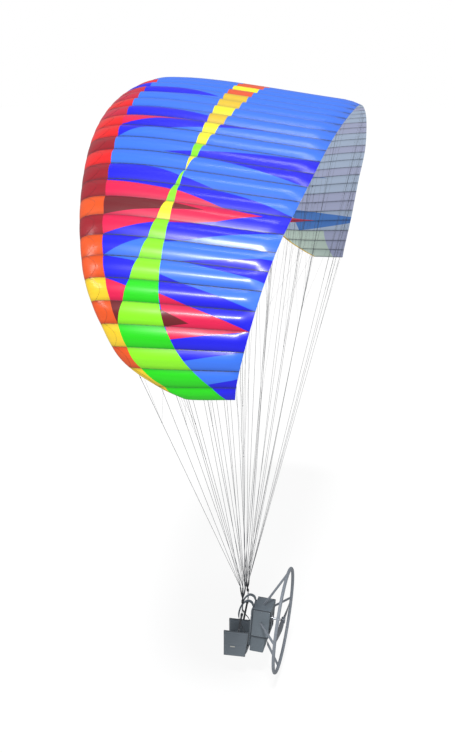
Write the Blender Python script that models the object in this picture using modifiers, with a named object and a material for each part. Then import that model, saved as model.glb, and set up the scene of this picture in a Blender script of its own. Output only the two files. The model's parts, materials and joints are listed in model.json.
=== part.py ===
# Powered paraglider in flight shape: an arched canopy of 46 cells, its main lines, two risers,
# and the motor unit with seat that hangs from them.
# Units are metres. X points forward, Y to the pilot's left, Z up.
# The origin is inside the middle of the canopy, on the chord line of the centre rib.

import math

import bmesh
import bpy
from mathutils import Matrix, Vector

# General
GAP = 0.0003                    # clearance between touching pieces
SIDES = ((1, "left"), (-1, "right"))

# Canopy
HALF_CELLS = 23                 # cells from the centre rib to each tip rib
CELL_STEPS = 4                  # spanwise facets in one cell
CENTRE_PITCH = math.radians(2.44)   # nose-up angle of the centre rib
TIP_PITCH_LOSS = math.radians(0.80)     # what the tip rib has less
TIP_THINNING = 0.12             # share of its relative thickness that the tip rib loses
CELL_BULGE = 0.09               # height of a cell's crown over its width
BULGE_FADE = 3.0                # the bulge fades over the last 1/3 of the chord
RIB_GAP = 0.0012                # half gap between canopy sections, in cell widths
RIB_STEP = 0.25                 # distance over which a slope along the span is read

# Rib stations: rib number, distance from the centre plane, trailing edge height and place, chord
RIB_TABLE = (
    (0, 0.000, -0.117, -1.750, 2.771),
    (3, 0.878, -0.201, -1.728, 2.733),
    (7, 2.016, -0.454, -1.653, 2.558),
    (11, 3.007, -0.850, -1.550, 2.275),
    (15, 3.832, -1.376, -1.385, 1.873),
    (17, 4.129, -1.685, -1.310, 1.657),
    (19, 4.324, -2.022, -1.237, 1.376),
    (21, 4.402, -2.371, -1.161, 1.025),
    (22, 4.399, -2.526, -1.131, 0.747),
    (23, 4.368, -2.648, -1.115, 0.480),
)
HALF_WIDTH, HEIGHT, TRAIL, CHORD = 1, 2, 3, 4

# Height of the skin over the chord at a fraction u behind the nose is
# (a * sqrt(u) + b * u + c * u ** 2 + d * u ** 3) * (1 - u); rows hold a, b, c, d
UPPER_SHAPE = (0.303, -0.243, 0.057, -0.027)
LOWER_SHAPE = (0.214, -0.092, 0.318, -0.382)

# Points of the rib outline as fractions of the chord, from the trailing edge round the nose
UPPER_FRACTIONS = (0.90, 0.78, 0.66, 0.54, 0.42, 0.31, 0.21, 0.13, 0.07, 0.03, 0.008)
LOWER_FRACTIONS = (0.008, 0.03, 0.08, 0.16, 0.28, 0.42, 0.58, 0.74, 0.88)

# Canopy sections: name, first rib, last rib
SECTIONS = (
    ("centre", -4, 4),
    ("inner", 4, 9),
    ("middle", 9, 14),
    ("outer", 14, 19),
    ("tip", 19, 23),
)

# Lines: row, chord fraction of its loops, riser finger that carries it, shift on it, ribs
LINE_ROWS = (
    ("lines_a", 0.09, 0, 0.000, (2, 8, 14, 19)),
    ("lines_b", 0.34, 1, 0.000, (2, 8, 14, 19, 22)),
    ("lines_c", 0.62, 2, 0.004, (2, 8, 14, 19)),
    ("brake_lines", 0.985, 2, -0.004, (5, 10, 15, 20)),
)
LINE_WIDTH = 0.003
LEAST_SLOPE = 0.35              # a line meets the skin no flatter than this
CROWN_SLOPE = 0.35              # how steeply a cell's skin leaves its rib
LINK_LENGTH = 0.036
LINK_WIDTH = 0.004
LINK_HEIGHT = 0.010

# Risers and carabiners
RISER_TOP = Vector((-0.348, 0.130, -6.575))
HANG_POINT = Vector((-0.358, 0.200, -6.895))    # lower bar of the carabiner
CARABINER_HEIGHT = 0.085
CARABINER_WIDTH = 0.050
CARABINER_TUBE = 0.005
CARABINER_STEPS = 28
CARABINER_CORNER = 0.7          # below 1 the oval's corners fill out
WEB_THICKNESS = 0.005
FINGER_SPREAD = 0.034           # distance between the riser's fingers at their tops
FINGER_WIDTH = 0.020
EYE_RADIUS = 0.009              # hole in a webbing loop
EYE_RIM = 0.018                 # outer radius of a webbing loop
EYE_SIDES = 12
EYE_ARC_STEPS = 14
RISER_SLACK = 0.40              # slope that a riser's eye leaves room for on its bar
RISER_THROAT = 0.42             # height where the fingers part, over the riser's length
THROAT_LEAN = 0.6               # share of the riser's forward lean reached at that height
THROAT_NOTCH = 0.004
HANG_WEB_SLACK = 0.13           # slope that a hang web's eye leaves room for
HANG_WEB_WIDTH = 0.028
HANG_WEB_SHIFT = 0.060          # how far forward of the hang point the web meets the seat

# Motor unit, in its own frame: origin at the propeller hub, X forward, Z up along the hoop
HUB = Vector((-0.896, 0.0, -7.076))
MOTOR_TILT = math.radians(4.8)
HOOP_RADIUS = 0.720
HOOP_TUBE = 0.0225
HOOP_STEPS = 56
HOOP_SIDES = 10
BLOCK_FRONT, BLOCK_REAR = 0.408, 0.160
BLOCK_TOP, BLOCK_BOTTOM = 0.190, -0.216
BLOCK_HALF_WIDTH = 0.200
BLOCK_BEVEL = 0.006
TANK_FRONT, TANK_REAR = 0.408, 0.190
TANK_BOTTOM = -0.460
TANK_REAR_BOTTOM = 0.215
TANK_HALF_WIDTH = 0.180
TANK_BEVEL = 0.014
STRUT_TUBE = 0.016
STRUT_SIDES = 12
STRUT_FOOT = 0.300              # how far forward of the hoop the struts start
STRUT_INSET = 0.030             # how deep a strut's axis starts inside the pack before trimming
TANK_STRUT_HEIGHT = -0.340
SHAFT_RADIUS = 0.014
SHAFT_SIDES = 24
BACK_PAD = 0.028
BACK_PAD_BEVEL = 0.008
BACK_PAD_TOP, BACK_PAD_BOTTOM = 0.170, -0.400
BACK_PAD_HALF_WIDTH = 0.170

# Propeller
HUB_RADIUS = 0.045
HUB_HALF_LENGTH = 0.024
HUB_SIDES = 32
# Blade stations: distance from the axis, chord, thickness, angle out of the disc
BLADE_TABLE = (
    (0.030, 0.050, 0.024, 40.0),
    (0.110, 0.085, 0.020, 34.0),
    (0.220, 0.110, 0.015, 26.0),
    (0.360, 0.104, 0.011, 18.0),
    (0.500, 0.082, 0.008, 13.0),
    (0.575, 0.058, 0.006, 11.0),
    (0.600, 0.030, 0.004, 10.0),
)
BLADE_SIDES = 14

# Seat
SEAT_FRONT = -0.088
SEAT_HALF_WIDTH = 0.200
SEAT_TOP = -7.222
SEAT_BOARD_TOP = -7.420
SEAT_BOTTOM = -7.600
SEAT_SIDE = 0.032
SEAT_KNEE_HEIGHT = -7.370       # where the rear edge starts to slope forward
SEAT_HEEL = -0.392              # rear end of the bottom

# Shoulder straps: places of the left one from the back pad over the shoulder to the seat side
STRAP_WIDTH = 0.036
STRAP_THICKNESS = 0.006
STRAP_STEPS = 4                 # straight pieces between two places
STRAP_PATH = (
    (-0.4685, 0.092, -6.8050),
    (-0.4000, 0.098, -6.7850),
    (-0.3250, 0.108, -6.8600),
    (-0.2900, 0.125, -6.9900),
    (-0.3150, 0.148, -7.1000),
    (-0.3600, 0.178, -7.1750),
)
STRAP_START_SIDE = 0.090        # distance of the strap's start from the centre plane
STRAP_END = -0.3850             # place of its lower end along the seat side

COLLECTION_NAME = "paraglider"


def clear_scene():
    for item in list(bpy.data.objects):
        bpy.data.objects.remove(item, do_unlink=True)


def new_collection(name):
    collection = bpy.data.collections.new(name)
    bpy.context.scene.collection.children.link(collection)
    return collection


def make_material(name, colour, roughness, metallic=0.0):
    material = bpy.data.materials.new(name)
    material.use_nodes = True
    shader = material.node_tree.nodes["Principled BSDF"]
    shader.inputs["Base Color"].default_value = (*colour, 1.0)
    shader.inputs["Roughness"].default_value = roughness
    shader.inputs["Metallic"].default_value = metallic
    return material


def object_from_bmesh(name, bm, material, collection, smooth_angle=None):
    mesh = bpy.data.meshes.new(name)
    bmesh.ops.recalc_face_normals(bm, faces=bm.faces)
    bm.to_mesh(mesh)
    bm.free()
    if smooth_angle is not None:
        mesh.shade_smooth()
        mesh.set_sharp_from_angle(angle=math.radians(smooth_angle))
    item = bpy.data.objects.new(name, mesh)
    collection.objects.link(item)
    mesh.materials.append(material)
    return item


def add_bevel(item, width, segments):
    bevel = item.modifiers.new("Rounded edges", "BEVEL")
    bevel.width = width
    bevel.segments = segments
    bevel.limit_method = "ANGLE"


def loft(bm, loops):
    """Skin a row of closed loops with the same number of points and cap both ends."""
    rings = [[bm.verts.new(point) for point in loop] for loop in loops]
    count = len(rings[0])
    for first, second in zip(rings, rings[1:]):
        for i in range(count):
            j = (i + 1) % count
            bm.faces.new((first[i], first[j], second[j], second[i]))
    bm.faces.new(list(reversed(rings[0])))
    bm.faces.new(rings[-1])


def tube_between(bm, start, end, radius, sides):
    """Add a closed straight tube between two points."""
    axis = end - start
    turn = axis.to_track_quat("Z", "Y").to_matrix().to_4x4()
    place = Matrix.Translation((start + end) / 2) @ turn
    bmesh.ops.create_cone(
        bm, cap_ends=True, segments=sides, radius1=radius, radius2=radius,
        depth=axis.length, matrix=place)


def box_bmesh(low, high):
    bm = bmesh.new()
    size = Vector(high) - Vector(low)
    centre = (Vector(high) + Vector(low)) / 2
    place = Matrix.Translation(centre) @ Matrix.Diagonal((*size, 1.0))
    bmesh.ops.create_cube(bm, size=1.0, matrix=place)
    return bm


def make_cutter(name, bm, cutters, parent=None):
    mesh = bpy.data.meshes.new(name)
    bmesh.ops.recalc_face_normals(bm, faces=bm.faces)
    bm.to_mesh(mesh)
    bm.free()
    item = bpy.data.objects.new(name, mesh)
    cutters.objects.link(item)
    item.parent = parent
    item.hide_render = True
    item.display_type = "WIRE"
    return item


def add_boolean(item, other, operation):
    boolean = item.modifiers.new(operation.title(), "BOOLEAN")
    boolean.operation = operation
    boolean.object = other
    boolean.solver = "EXACT"


# Canopy geometry

def rib_value(rib, column):
    """Read one column of the rib table at any rib position, on a smooth curve."""
    distance = abs(rib)
    rows = RIB_TABLE
    last = len(rows) - 1
    k = 0
    while k < last - 1 and distance > rows[k + 1][0]:
        k += 1
    x0, x1 = rows[k][0], rows[k + 1][0]
    y0, y1 = rows[k][column], rows[k + 1][column]
    slope = (y1 - y0) / (x1 - x0)
    if k == 0:
        start_slope = slope if column == HALF_WIDTH else 0.0
    else:
        before = (y0 - rows[k - 1][column]) / (x0 - rows[k - 1][0])
        span = x1 - rows[k - 1][0]
        start_slope = (before * (x1 - x0) + slope * (x0 - rows[k - 1][0])) / span
    if k + 1 == last:
        end_slope = slope
    else:
        after = (rows[k + 2][column] - y1) / (rows[k + 2][0] - x1)
        span = rows[k + 2][0] - x0
        end_slope = (slope * (rows[k + 2][0] - x1) + after * (x1 - x0)) / span
    t = (distance - x0) / (x1 - x0)
    width = x1 - x0
    value = ((2 * t ** 3 - 3 * t ** 2 + 1) * y0 + (t ** 3 - 2 * t ** 2 + t) * width * start_slope
             + (3 * t ** 2 - 2 * t ** 3) * y1 + (t ** 3 - t ** 2) * width * end_slope)
    if column == HALF_WIDTH and rib < 0:
        return -value
    return value


def rib_up(rib):
    """Direction square to the span, pointing out of the arch."""
    low = max(rib - RIB_STEP, -HALF_CELLS)
    high = min(rib + RIB_STEP, HALF_CELLS)
    along_y = rib_value(high, HALF_WIDTH) - rib_value(low, HALF_WIDTH)
    along_z = rib_value(high, HEIGHT) - rib_value(low, HEIGHT)
    return Vector((0.0, -along_z, along_y)).normalized()


def skin_height(fraction, shape):
    """Height of one skin over the chord line of a rib of chord 1."""
    nose, first, second, third = shape
    curve = nose * math.sqrt(fraction) + fraction * (first + fraction * (second + fraction * third))
    return curve * (1.0 - fraction)


def rib_fill(rib):
    """Relative thickness of a rib against the centre rib."""
    return 1.0 - TIP_THINNING * (abs(rib) / HALF_CELLS) ** 4


def rib_pitch(rib):
    return CENTRE_PITCH - TIP_PITCH_LOSS * (abs(rib) / HALF_CELLS) ** 3


def rib_outline(rib):
    """Outline of a rib of chord 1: trailing edge, upper side to the nose, lower side back."""
    fill = rib_fill(rib)
    points = [(1.0, 0.0)]
    for fraction in UPPER_FRACTIONS:
        points.append((fraction, skin_height(fraction, UPPER_SHAPE) * fill))
    points.append((0.0, 0.0))
    for fraction in LOWER_FRACTIONS:
        points.append((fraction, -skin_height(fraction, LOWER_SHAPE) * fill))
    return points


def place_on_rib(rib, fraction, height):
    """Turn a point of the unit rib outline into a place in space."""
    up = rib_up(rib)
    forward = Vector((1.0, 0.0, 0.0))
    pitch = rib_pitch(rib)
    chord_axis = forward * math.cos(pitch) + up * math.sin(pitch)
    rise_axis = up * math.cos(pitch) - forward * math.sin(pitch)
    chord = rib_value(rib, CHORD)
    trail = Vector((rib_value(rib, TRAIL), rib_value(rib, HALF_WIDTH), rib_value(rib, HEIGHT)))
    return trail + chord_axis * (chord * (1.0 - fraction)) + rise_axis * (chord * height)


def cell_width(rib):
    low = max(rib - 0.5, -HALF_CELLS)
    high = min(rib + 0.5, HALF_CELLS)
    along_y = rib_value(high, HALF_WIDTH) - rib_value(low, HALF_WIDTH)
    along_z = rib_value(high, HEIGHT) - rib_value(low, HEIGHT)
    return math.hypot(along_y, along_z) / (high - low)


def canopy_loop(rib, crown):
    """Closed outline in space at a rib position; crown is 0 at a rib and 1 in mid cell."""
    outline = rib_outline(rib)
    chord = rib_value(rib, CHORD)
    bulge = crown * CELL_BULGE * cell_width(rib) / chord
    count = len(outline)
    points = []
    for i in range(count):
        before = outline[i - 1]
        after = outline[(i + 1) % count]
        across = Vector((after[0] - before[0], after[1] - before[1])).normalized()
        fraction, height = outline[i]
        swell = bulge * min(1.0, (1.0 - fraction) * BULGE_FADE)
        points.append(place_on_rib(rib, fraction + across.y * swell, height - across.x * swell))
    return points


def make_canopy_section(name, first, last, material, collection):
    direction = 1 if last > first else -1
    loops = []
    cells = abs(last - first)
    for cell in range(cells):
        for step in range(CELL_STEPS):
            share = step / CELL_STEPS
            rib = first + direction * (cell + share)
            if cell == 0 and step == 0:
                rib = first + direction * RIB_GAP
            loops.append(canopy_loop(rib, math.sin(math.pi * share)))
    end = last if abs(last) == HALF_CELLS else last - direction * RIB_GAP
    loops.append(canopy_loop(end, 0.0))
    bm = bmesh.new()
    loft(bm, loops)
    return object_from_bmesh(name, bm, material, collection, smooth_angle=50)


def make_canopy(material, collection):
    for label, first, last in SECTIONS:
        if first < 0:
            make_canopy_section("canopy_" + label, first, last, material, collection)
            continue
        make_canopy_section("canopy_" + label + "_left", first, last, material, collection)
        make_canopy_section("canopy_" + label + "_right", -first, -last, material, collection)


def lower_skin_point(rib, fraction):
    """Place on the flat facets of the lower skin, at a rib."""
    stops = LOWER_FRACTIONS + (1.0,)
    k = 0
    while fraction > stops[k + 1]:
        k += 1
    share = (fraction - stops[k]) / (stops[k + 1] - stops[k])
    front = skin_height(stops[k], LOWER_SHAPE)
    rear = skin_height(stops[k + 1], LOWER_SHAPE)
    return place_on_rib(rib, fraction, -(front + (rear - front) * share) * rib_fill(rib))


# Lines, risers and carabiners

def side_point(point, side):
    return Vector((point.x, point.y * side, point.z))


def eye_play(slack):
    """How far the centre of a webbing eye sits from the bar that it pulls on."""
    flat = EYE_RADIUS * math.cos(math.pi / EYE_SIDES)
    return flat - CARABINER_TUBE - GAP - WEB_THICKNESS / 2 * slack


def riser_foot(side):
    """Centre of the riser's lower eye, round the top bar of the carabiner."""
    foot = side_point(HANG_POINT, side)
    foot.z += CARABINER_HEIGHT - 2 * CARABINER_TUBE + eye_play(RISER_SLACK)
    return foot


def riser_lean(side):
    """How far the riser leans in from upright; the sign follows Y."""
    foot = riser_foot(side)
    top = side_point(RISER_TOP, side)
    return math.atan2(foot.y - top.y, top.z - foot.z)


def finger_top(finger, side):
    """Top of a riser finger: 0 is the front one, 2 the rear one."""
    shift = (1 - finger) * FINGER_SPREAD
    return side_point(RISER_TOP, side) + Vector((shift, 0.0, 0.0))


def line_end(start, rib, fraction):
    """Where a line stops under the lower skin, clear of it by a hair."""
    skin = lower_skin_point(rib, fraction)
    direction = (skin - start).normalized()
    slope = abs(direction.dot(rib_up(rib)))
    lean = math.sqrt(max(0.0, 1.0 - slope ** 2)) / max(slope, LEAST_SLOPE)
    return skin - direction * (GAP + LINE_WIDTH / 2 * (lean + CROWN_SLOPE))


def make_line_fan(name, foot, targets, side, material, collection):
    """A quick link on a riser finger, with a row of lines drawn out of its upper side."""
    slots = 2 * len(targets) + 1
    pitch = LINK_LENGTH / slots
    low = foot - Vector((LINK_WIDTH / 2, LINK_LENGTH / 2, 0.0))
    high = foot + Vector((LINK_WIDTH / 2, LINK_LENGTH / 2, LINK_HEIGHT))
    bm = box_bmesh(low, high)
    for i in range(1, slots):
        bmesh.ops.bisect_plane(
            bm, geom=bm.verts[:] + bm.edges[:] + bm.faces[:],
            plane_co=(0.0, low.y + i * pitch, 0.0), plane_no=(0.0, 1.0, 0.0))
    bm.normal_update()
    tops = [face for face in bm.faces if face.normal.z > 0.9]
    tops.sort(key=lambda face: side * face.calc_center_median().y)
    roots = tops[1::2]
    for root, (rib, fraction) in zip(roots, targets):
        start = root.calc_center_median()
        end = line_end(start, rib * side, fraction)
        along = (end - start).normalized()
        across = (Vector((1.0, 0.0, 0.0)) - along * along.x).normalized()
        beside = along.cross(across)
        drawn = bmesh.ops.extrude_discrete_faces(bm, faces=[root])["faces"][0]
        for vert in drawn.verts:
            offset = vert.co - start
            vert.co = (end + across * math.copysign(LINE_WIDTH / 2, offset.x)
                       + beside * math.copysign(LINE_WIDTH / 2, offset.y))
    return object_from_bmesh(name, bm, material, collection)


def make_lines(side, label, material, collection):
    seat = GAP + WEB_THICKNESS / 2 * math.sin(riser_lean(1))
    for name, fraction, finger, shift, ribs in LINE_ROWS:
        foot = finger_top(finger, side) + Vector((shift, 0.0, seat))
        targets = [(rib, fraction) for rib in ribs]
        make_line_fan(name + "_" + label, foot, targets, side, material, collection)


def join_with_boolean(item, other):
    """Fuse another object into this one and remove it."""
    add_boolean(item, other, "UNION")
    graph = bpy.context.evaluated_depsgraph_get()
    mesh = bpy.data.meshes.new_from_object(item.evaluated_get(graph))
    item.modifiers.clear()
    item.data = mesh
    bpy.data.objects.remove(other, do_unlink=True)


def flat_outline(name, splines, thickness, material, collection):
    """A flat plate from closed outlines in the X-Y plane of a 2D curve; later ones are holes."""
    curve = bpy.data.curves.new(name, "CURVE")
    curve.dimensions = "2D"
    curve.fill_mode = "BOTH"
    curve.extrude = thickness / 2
    for points in splines:
        spline = curve.splines.new("POLY")
        spline.points.add(len(points) - 1)
        for slot, (x, y) in zip(spline.points, points):
            slot.co = (x, y, 0.0, 1.0)
        spline.use_cyclic_u = True
    curve.materials.append(material)
    item = bpy.data.objects.new(name, curve)
    collection.objects.link(item)
    return item


def arc_points(centre, radius, start, end, steps):
    points = []
    for i in range(steps + 1):
        angle = math.radians(start + (end - start) * i / steps)
        points.append((centre[0] + radius * math.cos(angle), centre[1] + radius * math.sin(angle)))
    return points


def eye_hole():
    return arc_points((0.0, 0.0), EYE_RADIUS, 0.0, 360.0 * (1 - 1 / EYE_SIDES), EYE_SIDES - 1)


def make_riser(side, label, material, collection):
    """Three webbing fingers that run down into one loop round the carabiner."""
    bottom = riser_foot(side)
    top = side_point(RISER_TOP, side)
    length = math.hypot(top.y - bottom.y, top.z - bottom.z)
    half = FINGER_WIDTH / 2
    lean_x = top.x - bottom.x
    throat = length * RISER_THROAT
    outline = arc_points((0.0, 0.0), EYE_RIM, 150.0, 390.0, EYE_ARC_STEPS)
    outline.append((lean_x + FINGER_SPREAD + half, length))
    outline.append((lean_x + FINGER_SPREAD - half, length))
    outline.append((lean_x * THROAT_LEAN + THROAT_NOTCH, throat))
    outline.append((lean_x + half, length))
    outline.append((lean_x - half, length))
    outline.append((lean_x * THROAT_LEAN - THROAT_NOTCH, throat))
    outline.append((lean_x - FINGER_SPREAD + half, length))
    outline.append((lean_x - FINGER_SPREAD - half, length))
    hole = eye_hole()
    item = flat_outline("riser_" + label, (outline, hole), WEB_THICKNESS, material, collection)
    item.location = bottom
    item.rotation_euler = (math.radians(90.0) + riser_lean(side), 0.0, 0.0)
    return item


def make_carabiner(side, label, material, collection):
    """An oval ring that stands across the webbing loops."""
    curve = bpy.data.curves.new("carabiner_" + label, "CURVE")
    curve.dimensions = "3D"
    curve.bevel_depth = CARABINER_TUBE
    curve.bevel_resolution = 2
    spline = curve.splines.new("POLY")
    half_width = CARABINER_WIDTH / 2 - CARABINER_TUBE
    half_height = CARABINER_HEIGHT / 2 - CARABINER_TUBE
    spline.points.add(CARABINER_STEPS - 1)
    for i in range(CARABINER_STEPS):
        angle = 2.0 * math.pi * i / CARABINER_STEPS
        across, rise = math.cos(angle), math.sin(angle)
        y = half_width * math.copysign(abs(across) ** CARABINER_CORNER, across)
        z = half_height * math.copysign(abs(rise) ** CARABINER_CORNER, rise)
        spline.points[i].co = (0.0, y, z, 1.0)
    spline.use_cyclic_u = True
    curve.materials.append(material)
    item = bpy.data.objects.new("carabiner_" + label, curve)
    collection.objects.link(item)
    centre = side_point(HANG_POINT, side)
    item.location = centre + Vector((0.0, 0.0, half_height))
    return item


# Motor unit

def pack_place(x, y, z):
    """Place in space of a point given in the motor unit's own frame."""
    return HUB + Matrix.Rotation(-MOTOR_TILT, 3, "Y") @ Vector((x, y, z))


def make_block(name, low, high, bevel, material, collection, parent):
    item = object_from_bmesh(name, box_bmesh(low, high), material, collection)
    item.parent = parent
    add_bevel(item, bevel, 2)
    return item


def make_tank(material, collection, parent):
    """Tank under the motor block, its rear wall sloping forward to the bottom."""
    bm = box_bmesh((TANK_REAR, -TANK_HALF_WIDTH, TANK_BOTTOM),
                   (TANK_FRONT, TANK_HALF_WIDTH, BLOCK_BOTTOM - GAP))
    for vert in bm.verts:
        if vert.co.x < (TANK_REAR + TANK_FRONT) / 2 and vert.co.z < (TANK_BOTTOM + BLOCK_BOTTOM) / 2:
            vert.co.x = TANK_REAR_BOTTOM
    item = object_from_bmesh("fuel_tank", bm, material, collection)
    item.parent = parent
    add_bevel(item, TANK_BEVEL, 3)
    return item


def hoop_ring(name, tube, collection, parent):
    bpy.ops.mesh.primitive_torus_add(
        major_radius=HOOP_RADIUS, minor_radius=tube, major_segments=HOOP_STEPS,
        minor_segments=HOOP_SIDES, rotation=(0.0, math.radians(90.0), 0.0))
    item = bpy.context.object
    item.name = name
    item.data.name = name
    for old in list(item.users_collection):
        old.objects.unlink(item)
    collection.objects.link(item)
    item.parent = parent
    return item


def make_hoop(material, collection, parent):
    item = hoop_ring("cage_hoop", HOOP_TUBE, collection, parent)
    item.data.materials.append(material)
    item.data.shade_smooth()


def make_hoop_cutter(cutters, parent):
    item = hoop_ring("hoop_cutter", HOOP_TUBE + GAP, cutters, parent)
    item.hide_render = True
    item.display_type = "WIRE"
    return item


def make_struts(material, collection, cutters, parent):
    """Four tubes from the pack out to the hoop: top, bottom and both sides."""
    hoop_cutter = make_hoop_cutter(cutters, parent)
    block_cutter = make_cutter("block_cutter", box_bmesh(
        (BLOCK_REAR - GAP, -BLOCK_HALF_WIDTH - GAP, BLOCK_BOTTOM - GAP),
        (BLOCK_FRONT + GAP, BLOCK_HALF_WIDTH + GAP, BLOCK_TOP + GAP)), cutters, parent)
    tank_cutter = make_cutter("tank_cutter", box_bmesh(
        (TANK_REAR - GAP, -TANK_HALF_WIDTH, TANK_BOTTOM),
        (TANK_FRONT, TANK_HALF_WIDTH, BLOCK_BOTTOM)), cutters, parent)
    # Strut: name, foot on the pack, direction to its place on the hoop, body that cuts its foot
    rows = (
        ("top", (STRUT_FOOT, 0.0, BLOCK_TOP - STRUT_INSET), (0.0, 1.0), block_cutter),
        ("bottom", (TANK_REAR + STRUT_INSET, 0.0, TANK_STRUT_HEIGHT), (0.0, -1.0), tank_cutter),
        ("left", (STRUT_FOOT, BLOCK_HALF_WIDTH - STRUT_INSET, 0.0), (1.0, 0.0), block_cutter),
        ("right", (STRUT_FOOT, STRUT_INSET - BLOCK_HALF_WIDTH, 0.0), (-1.0, 0.0), block_cutter),
    )
    for label, foot, place, foot_cutter in rows:
        end = Vector((0.0, place[0] * HOOP_RADIUS, place[1] * HOOP_RADIUS))
        bm = bmesh.new()
        tube_between(bm, Vector(foot), end, STRUT_TUBE, STRUT_SIDES)
        item = object_from_bmesh("cage_strut_" + label, bm, material, collection, smooth_angle=50)
        item.parent = parent
        add_boolean(item, foot_cutter, "DIFFERENCE")
        add_boolean(item, hoop_cutter, "DIFFERENCE")


def make_shaft(material, collection, parent):
    bm = bmesh.new()
    tube_between(bm, Vector((HUB_HALF_LENGTH + 2 * GAP, 0.0, 0.0)),
                 Vector((BLOCK_REAR - GAP, 0.0, 0.0)), SHAFT_RADIUS, SHAFT_SIDES)
    item = object_from_bmesh("drive_shaft", bm, material, collection, smooth_angle=50)
    item.parent = parent
    return item


def blade_loop(station, direction):
    """Lens-shaped blade section at one station; direction is +1 for the left blade."""
    reach, chord, thickness, angle = station
    pitch = math.radians(angle) * direction
    points = []
    for i in range(BLADE_SIDES):
        turn = 2.0 * math.pi * i / BLADE_SIDES
        along = 0.5 * chord * math.cos(turn)
        across = 0.5 * thickness * math.sin(turn)
        x = along * math.sin(pitch) + across * math.cos(pitch)
        z = along * math.cos(pitch) - across * math.sin(pitch)
        points.append(Vector((x, reach * direction, z)))
    return points


def make_propeller(material, collection, parent):
    """Hub with two blades that lie level at rest."""
    bm = bmesh.new()
    tube_between(bm, Vector((-HUB_HALF_LENGTH, 0.0, 0.0)), Vector((HUB_HALF_LENGTH, 0.0, 0.0)),
                 HUB_RADIUS, HUB_SIDES)
    item = object_from_bmesh("propeller", bm, material, collection, smooth_angle=50)
    for direction in (1, -1):
        blade = bmesh.new()
        loft(blade, [blade_loop(station, direction) for station in BLADE_TABLE])
        other = object_from_bmesh("blade", blade, material, collection)
        join_with_boolean(item, other)
    item.data.shade_smooth()
    item.data.set_sharp_from_angle(angle=math.radians(40.0))
    item.parent = parent
    return item


# Harness

def back_pad_front(height):
    """X of the back pad's front face at a height in space."""
    face = BLOCK_FRONT + GAP + BACK_PAD
    along = (height - HUB.z - face * math.sin(MOTOR_TILT)) / math.cos(MOTOR_TILT)
    return HUB.x + face * math.cos(MOTOR_TILT) - along * math.sin(MOTOR_TILT)


def make_seat(material, collection):
    """Seat shell: an under-seat bag with a side wall at each hip, open in front and on top."""
    knee = back_pad_front(SEAT_KNEE_HEIGHT) + GAP
    side_outline = [
        (SEAT_FRONT, SEAT_BOTTOM), (SEAT_FRONT, SEAT_TOP),
        (back_pad_front(SEAT_TOP) + GAP, SEAT_TOP), (knee, SEAT_KNEE_HEIGHT),
        (SEAT_HEEL, SEAT_BOTTOM)]
    for side, label in SIDES:
        item = flat_outline("seat_side_" + label, (side_outline,), SEAT_SIDE, material, collection)
        item.rotation_euler = (math.radians(90.0), 0.0, 0.0)
        item.location = (0.0, side * (SEAT_HALF_WIDTH - SEAT_SIDE / 2), 0.0)
    rear = back_pad_front(SEAT_BOARD_TOP) + GAP
    base_outline = [
        (SEAT_FRONT, SEAT_BOTTOM), (SEAT_FRONT, SEAT_BOARD_TOP), (rear, SEAT_BOARD_TOP),
        (SEAT_HEEL, SEAT_BOTTOM)]
    width = 2 * (SEAT_HALF_WIDTH - SEAT_SIDE - GAP)
    base = flat_outline("seat_base", (base_outline,), width, material, collection)
    base.rotation_euler = (math.radians(90.0), 0.0, 0.0)


def strap_course(side):
    """Smooth row of places for a shoulder strap, with its two flat ends square to their seats."""
    pad_middle = BLOCK_FRONT + GAP + BACK_PAD / 2
    start = pack_place(pad_middle, STRAP_START_SIDE, BACK_PAD_TOP + GAP)
    end = Vector((STRAP_END, SEAT_HALF_WIDTH - SEAT_SIDE / 2, SEAT_TOP + GAP))
    places = [start] + [Vector(row) for row in STRAP_PATH] + [end]
    course = []
    for i in range(len(places) - 1):
        before = places[max(i - 1, 0)]
        after = places[min(i + 2, len(places) - 1)]
        first, second = places[i], places[i + 1]
        for step in range(STRAP_STEPS):
            t = step / STRAP_STEPS
            course.append(0.5 * (2 * first + (second - before) * t
                                 + (2 * before - 5 * first + 4 * second - after) * t ** 2
                                 + (3 * first - before - 3 * second + after) * t ** 3))
    course.append(end)
    return [side_point(place, side) for place in course]


def make_shoulder_strap(side, label, material, collection):
    """Flat strap whose width lies across the shoulder."""
    course = strap_course(side)
    last = len(course) - 1
    loops = []
    for i, place in enumerate(course):
        along = (course[min(i + 1, last)] - course[max(i - 1, 0)]).normalized()
        if i == 0:
            along = pack_place(0.0, 0.0, 1.0) - HUB
        if i == last:
            along = Vector((0.0, 0.0, -1.0))
        flat = Vector((0.0, 1.0, 0.0))
        across = (flat - along * flat.dot(along)).normalized() * STRAP_WIDTH / 2
        outward = along.cross(across).normalized() * STRAP_THICKNESS / 2
        loops.append([place - across - outward, place + across - outward,
                      place + across + outward, place - across + outward])
    bm = bmesh.new()
    loft(bm, loops)
    object_from_bmesh("shoulder_strap_" + label, bm, material, collection, smooth_angle=40)


def make_hang_web(side, label, material, collection):
    """Hang web from the carabiner to the seat side, with the loop round the carabiner."""
    eye = side_point(HANG_POINT, side)
    eye.z -= eye_play(HANG_WEB_SLACK)
    foot_z = SEAT_TOP + GAP
    drop = eye.z - foot_z
    half = HANG_WEB_WIDTH / 2
    outline = arc_points((0.0, 0.0), EYE_RIM, -30.0, 210.0, EYE_ARC_STEPS)
    outline.append((HANG_WEB_SHIFT - half, -drop))
    outline.append((HANG_WEB_SHIFT + half, -drop))
    hole = eye_hole()
    web = flat_outline("hang_web_" + label, (outline, hole), WEB_THICKNESS, material, collection)
    foot_y = (SEAT_HALF_WIDTH - SEAT_SIDE / 2) * side
    web.location = eye
    lean = math.atan2(eye.y - foot_y, drop)
    web.rotation_euler = (math.radians(90.0) - lean, 0.0, 0.0)
    web.location.z += WEB_THICKNESS / 2 * abs(math.sin(lean))


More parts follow.
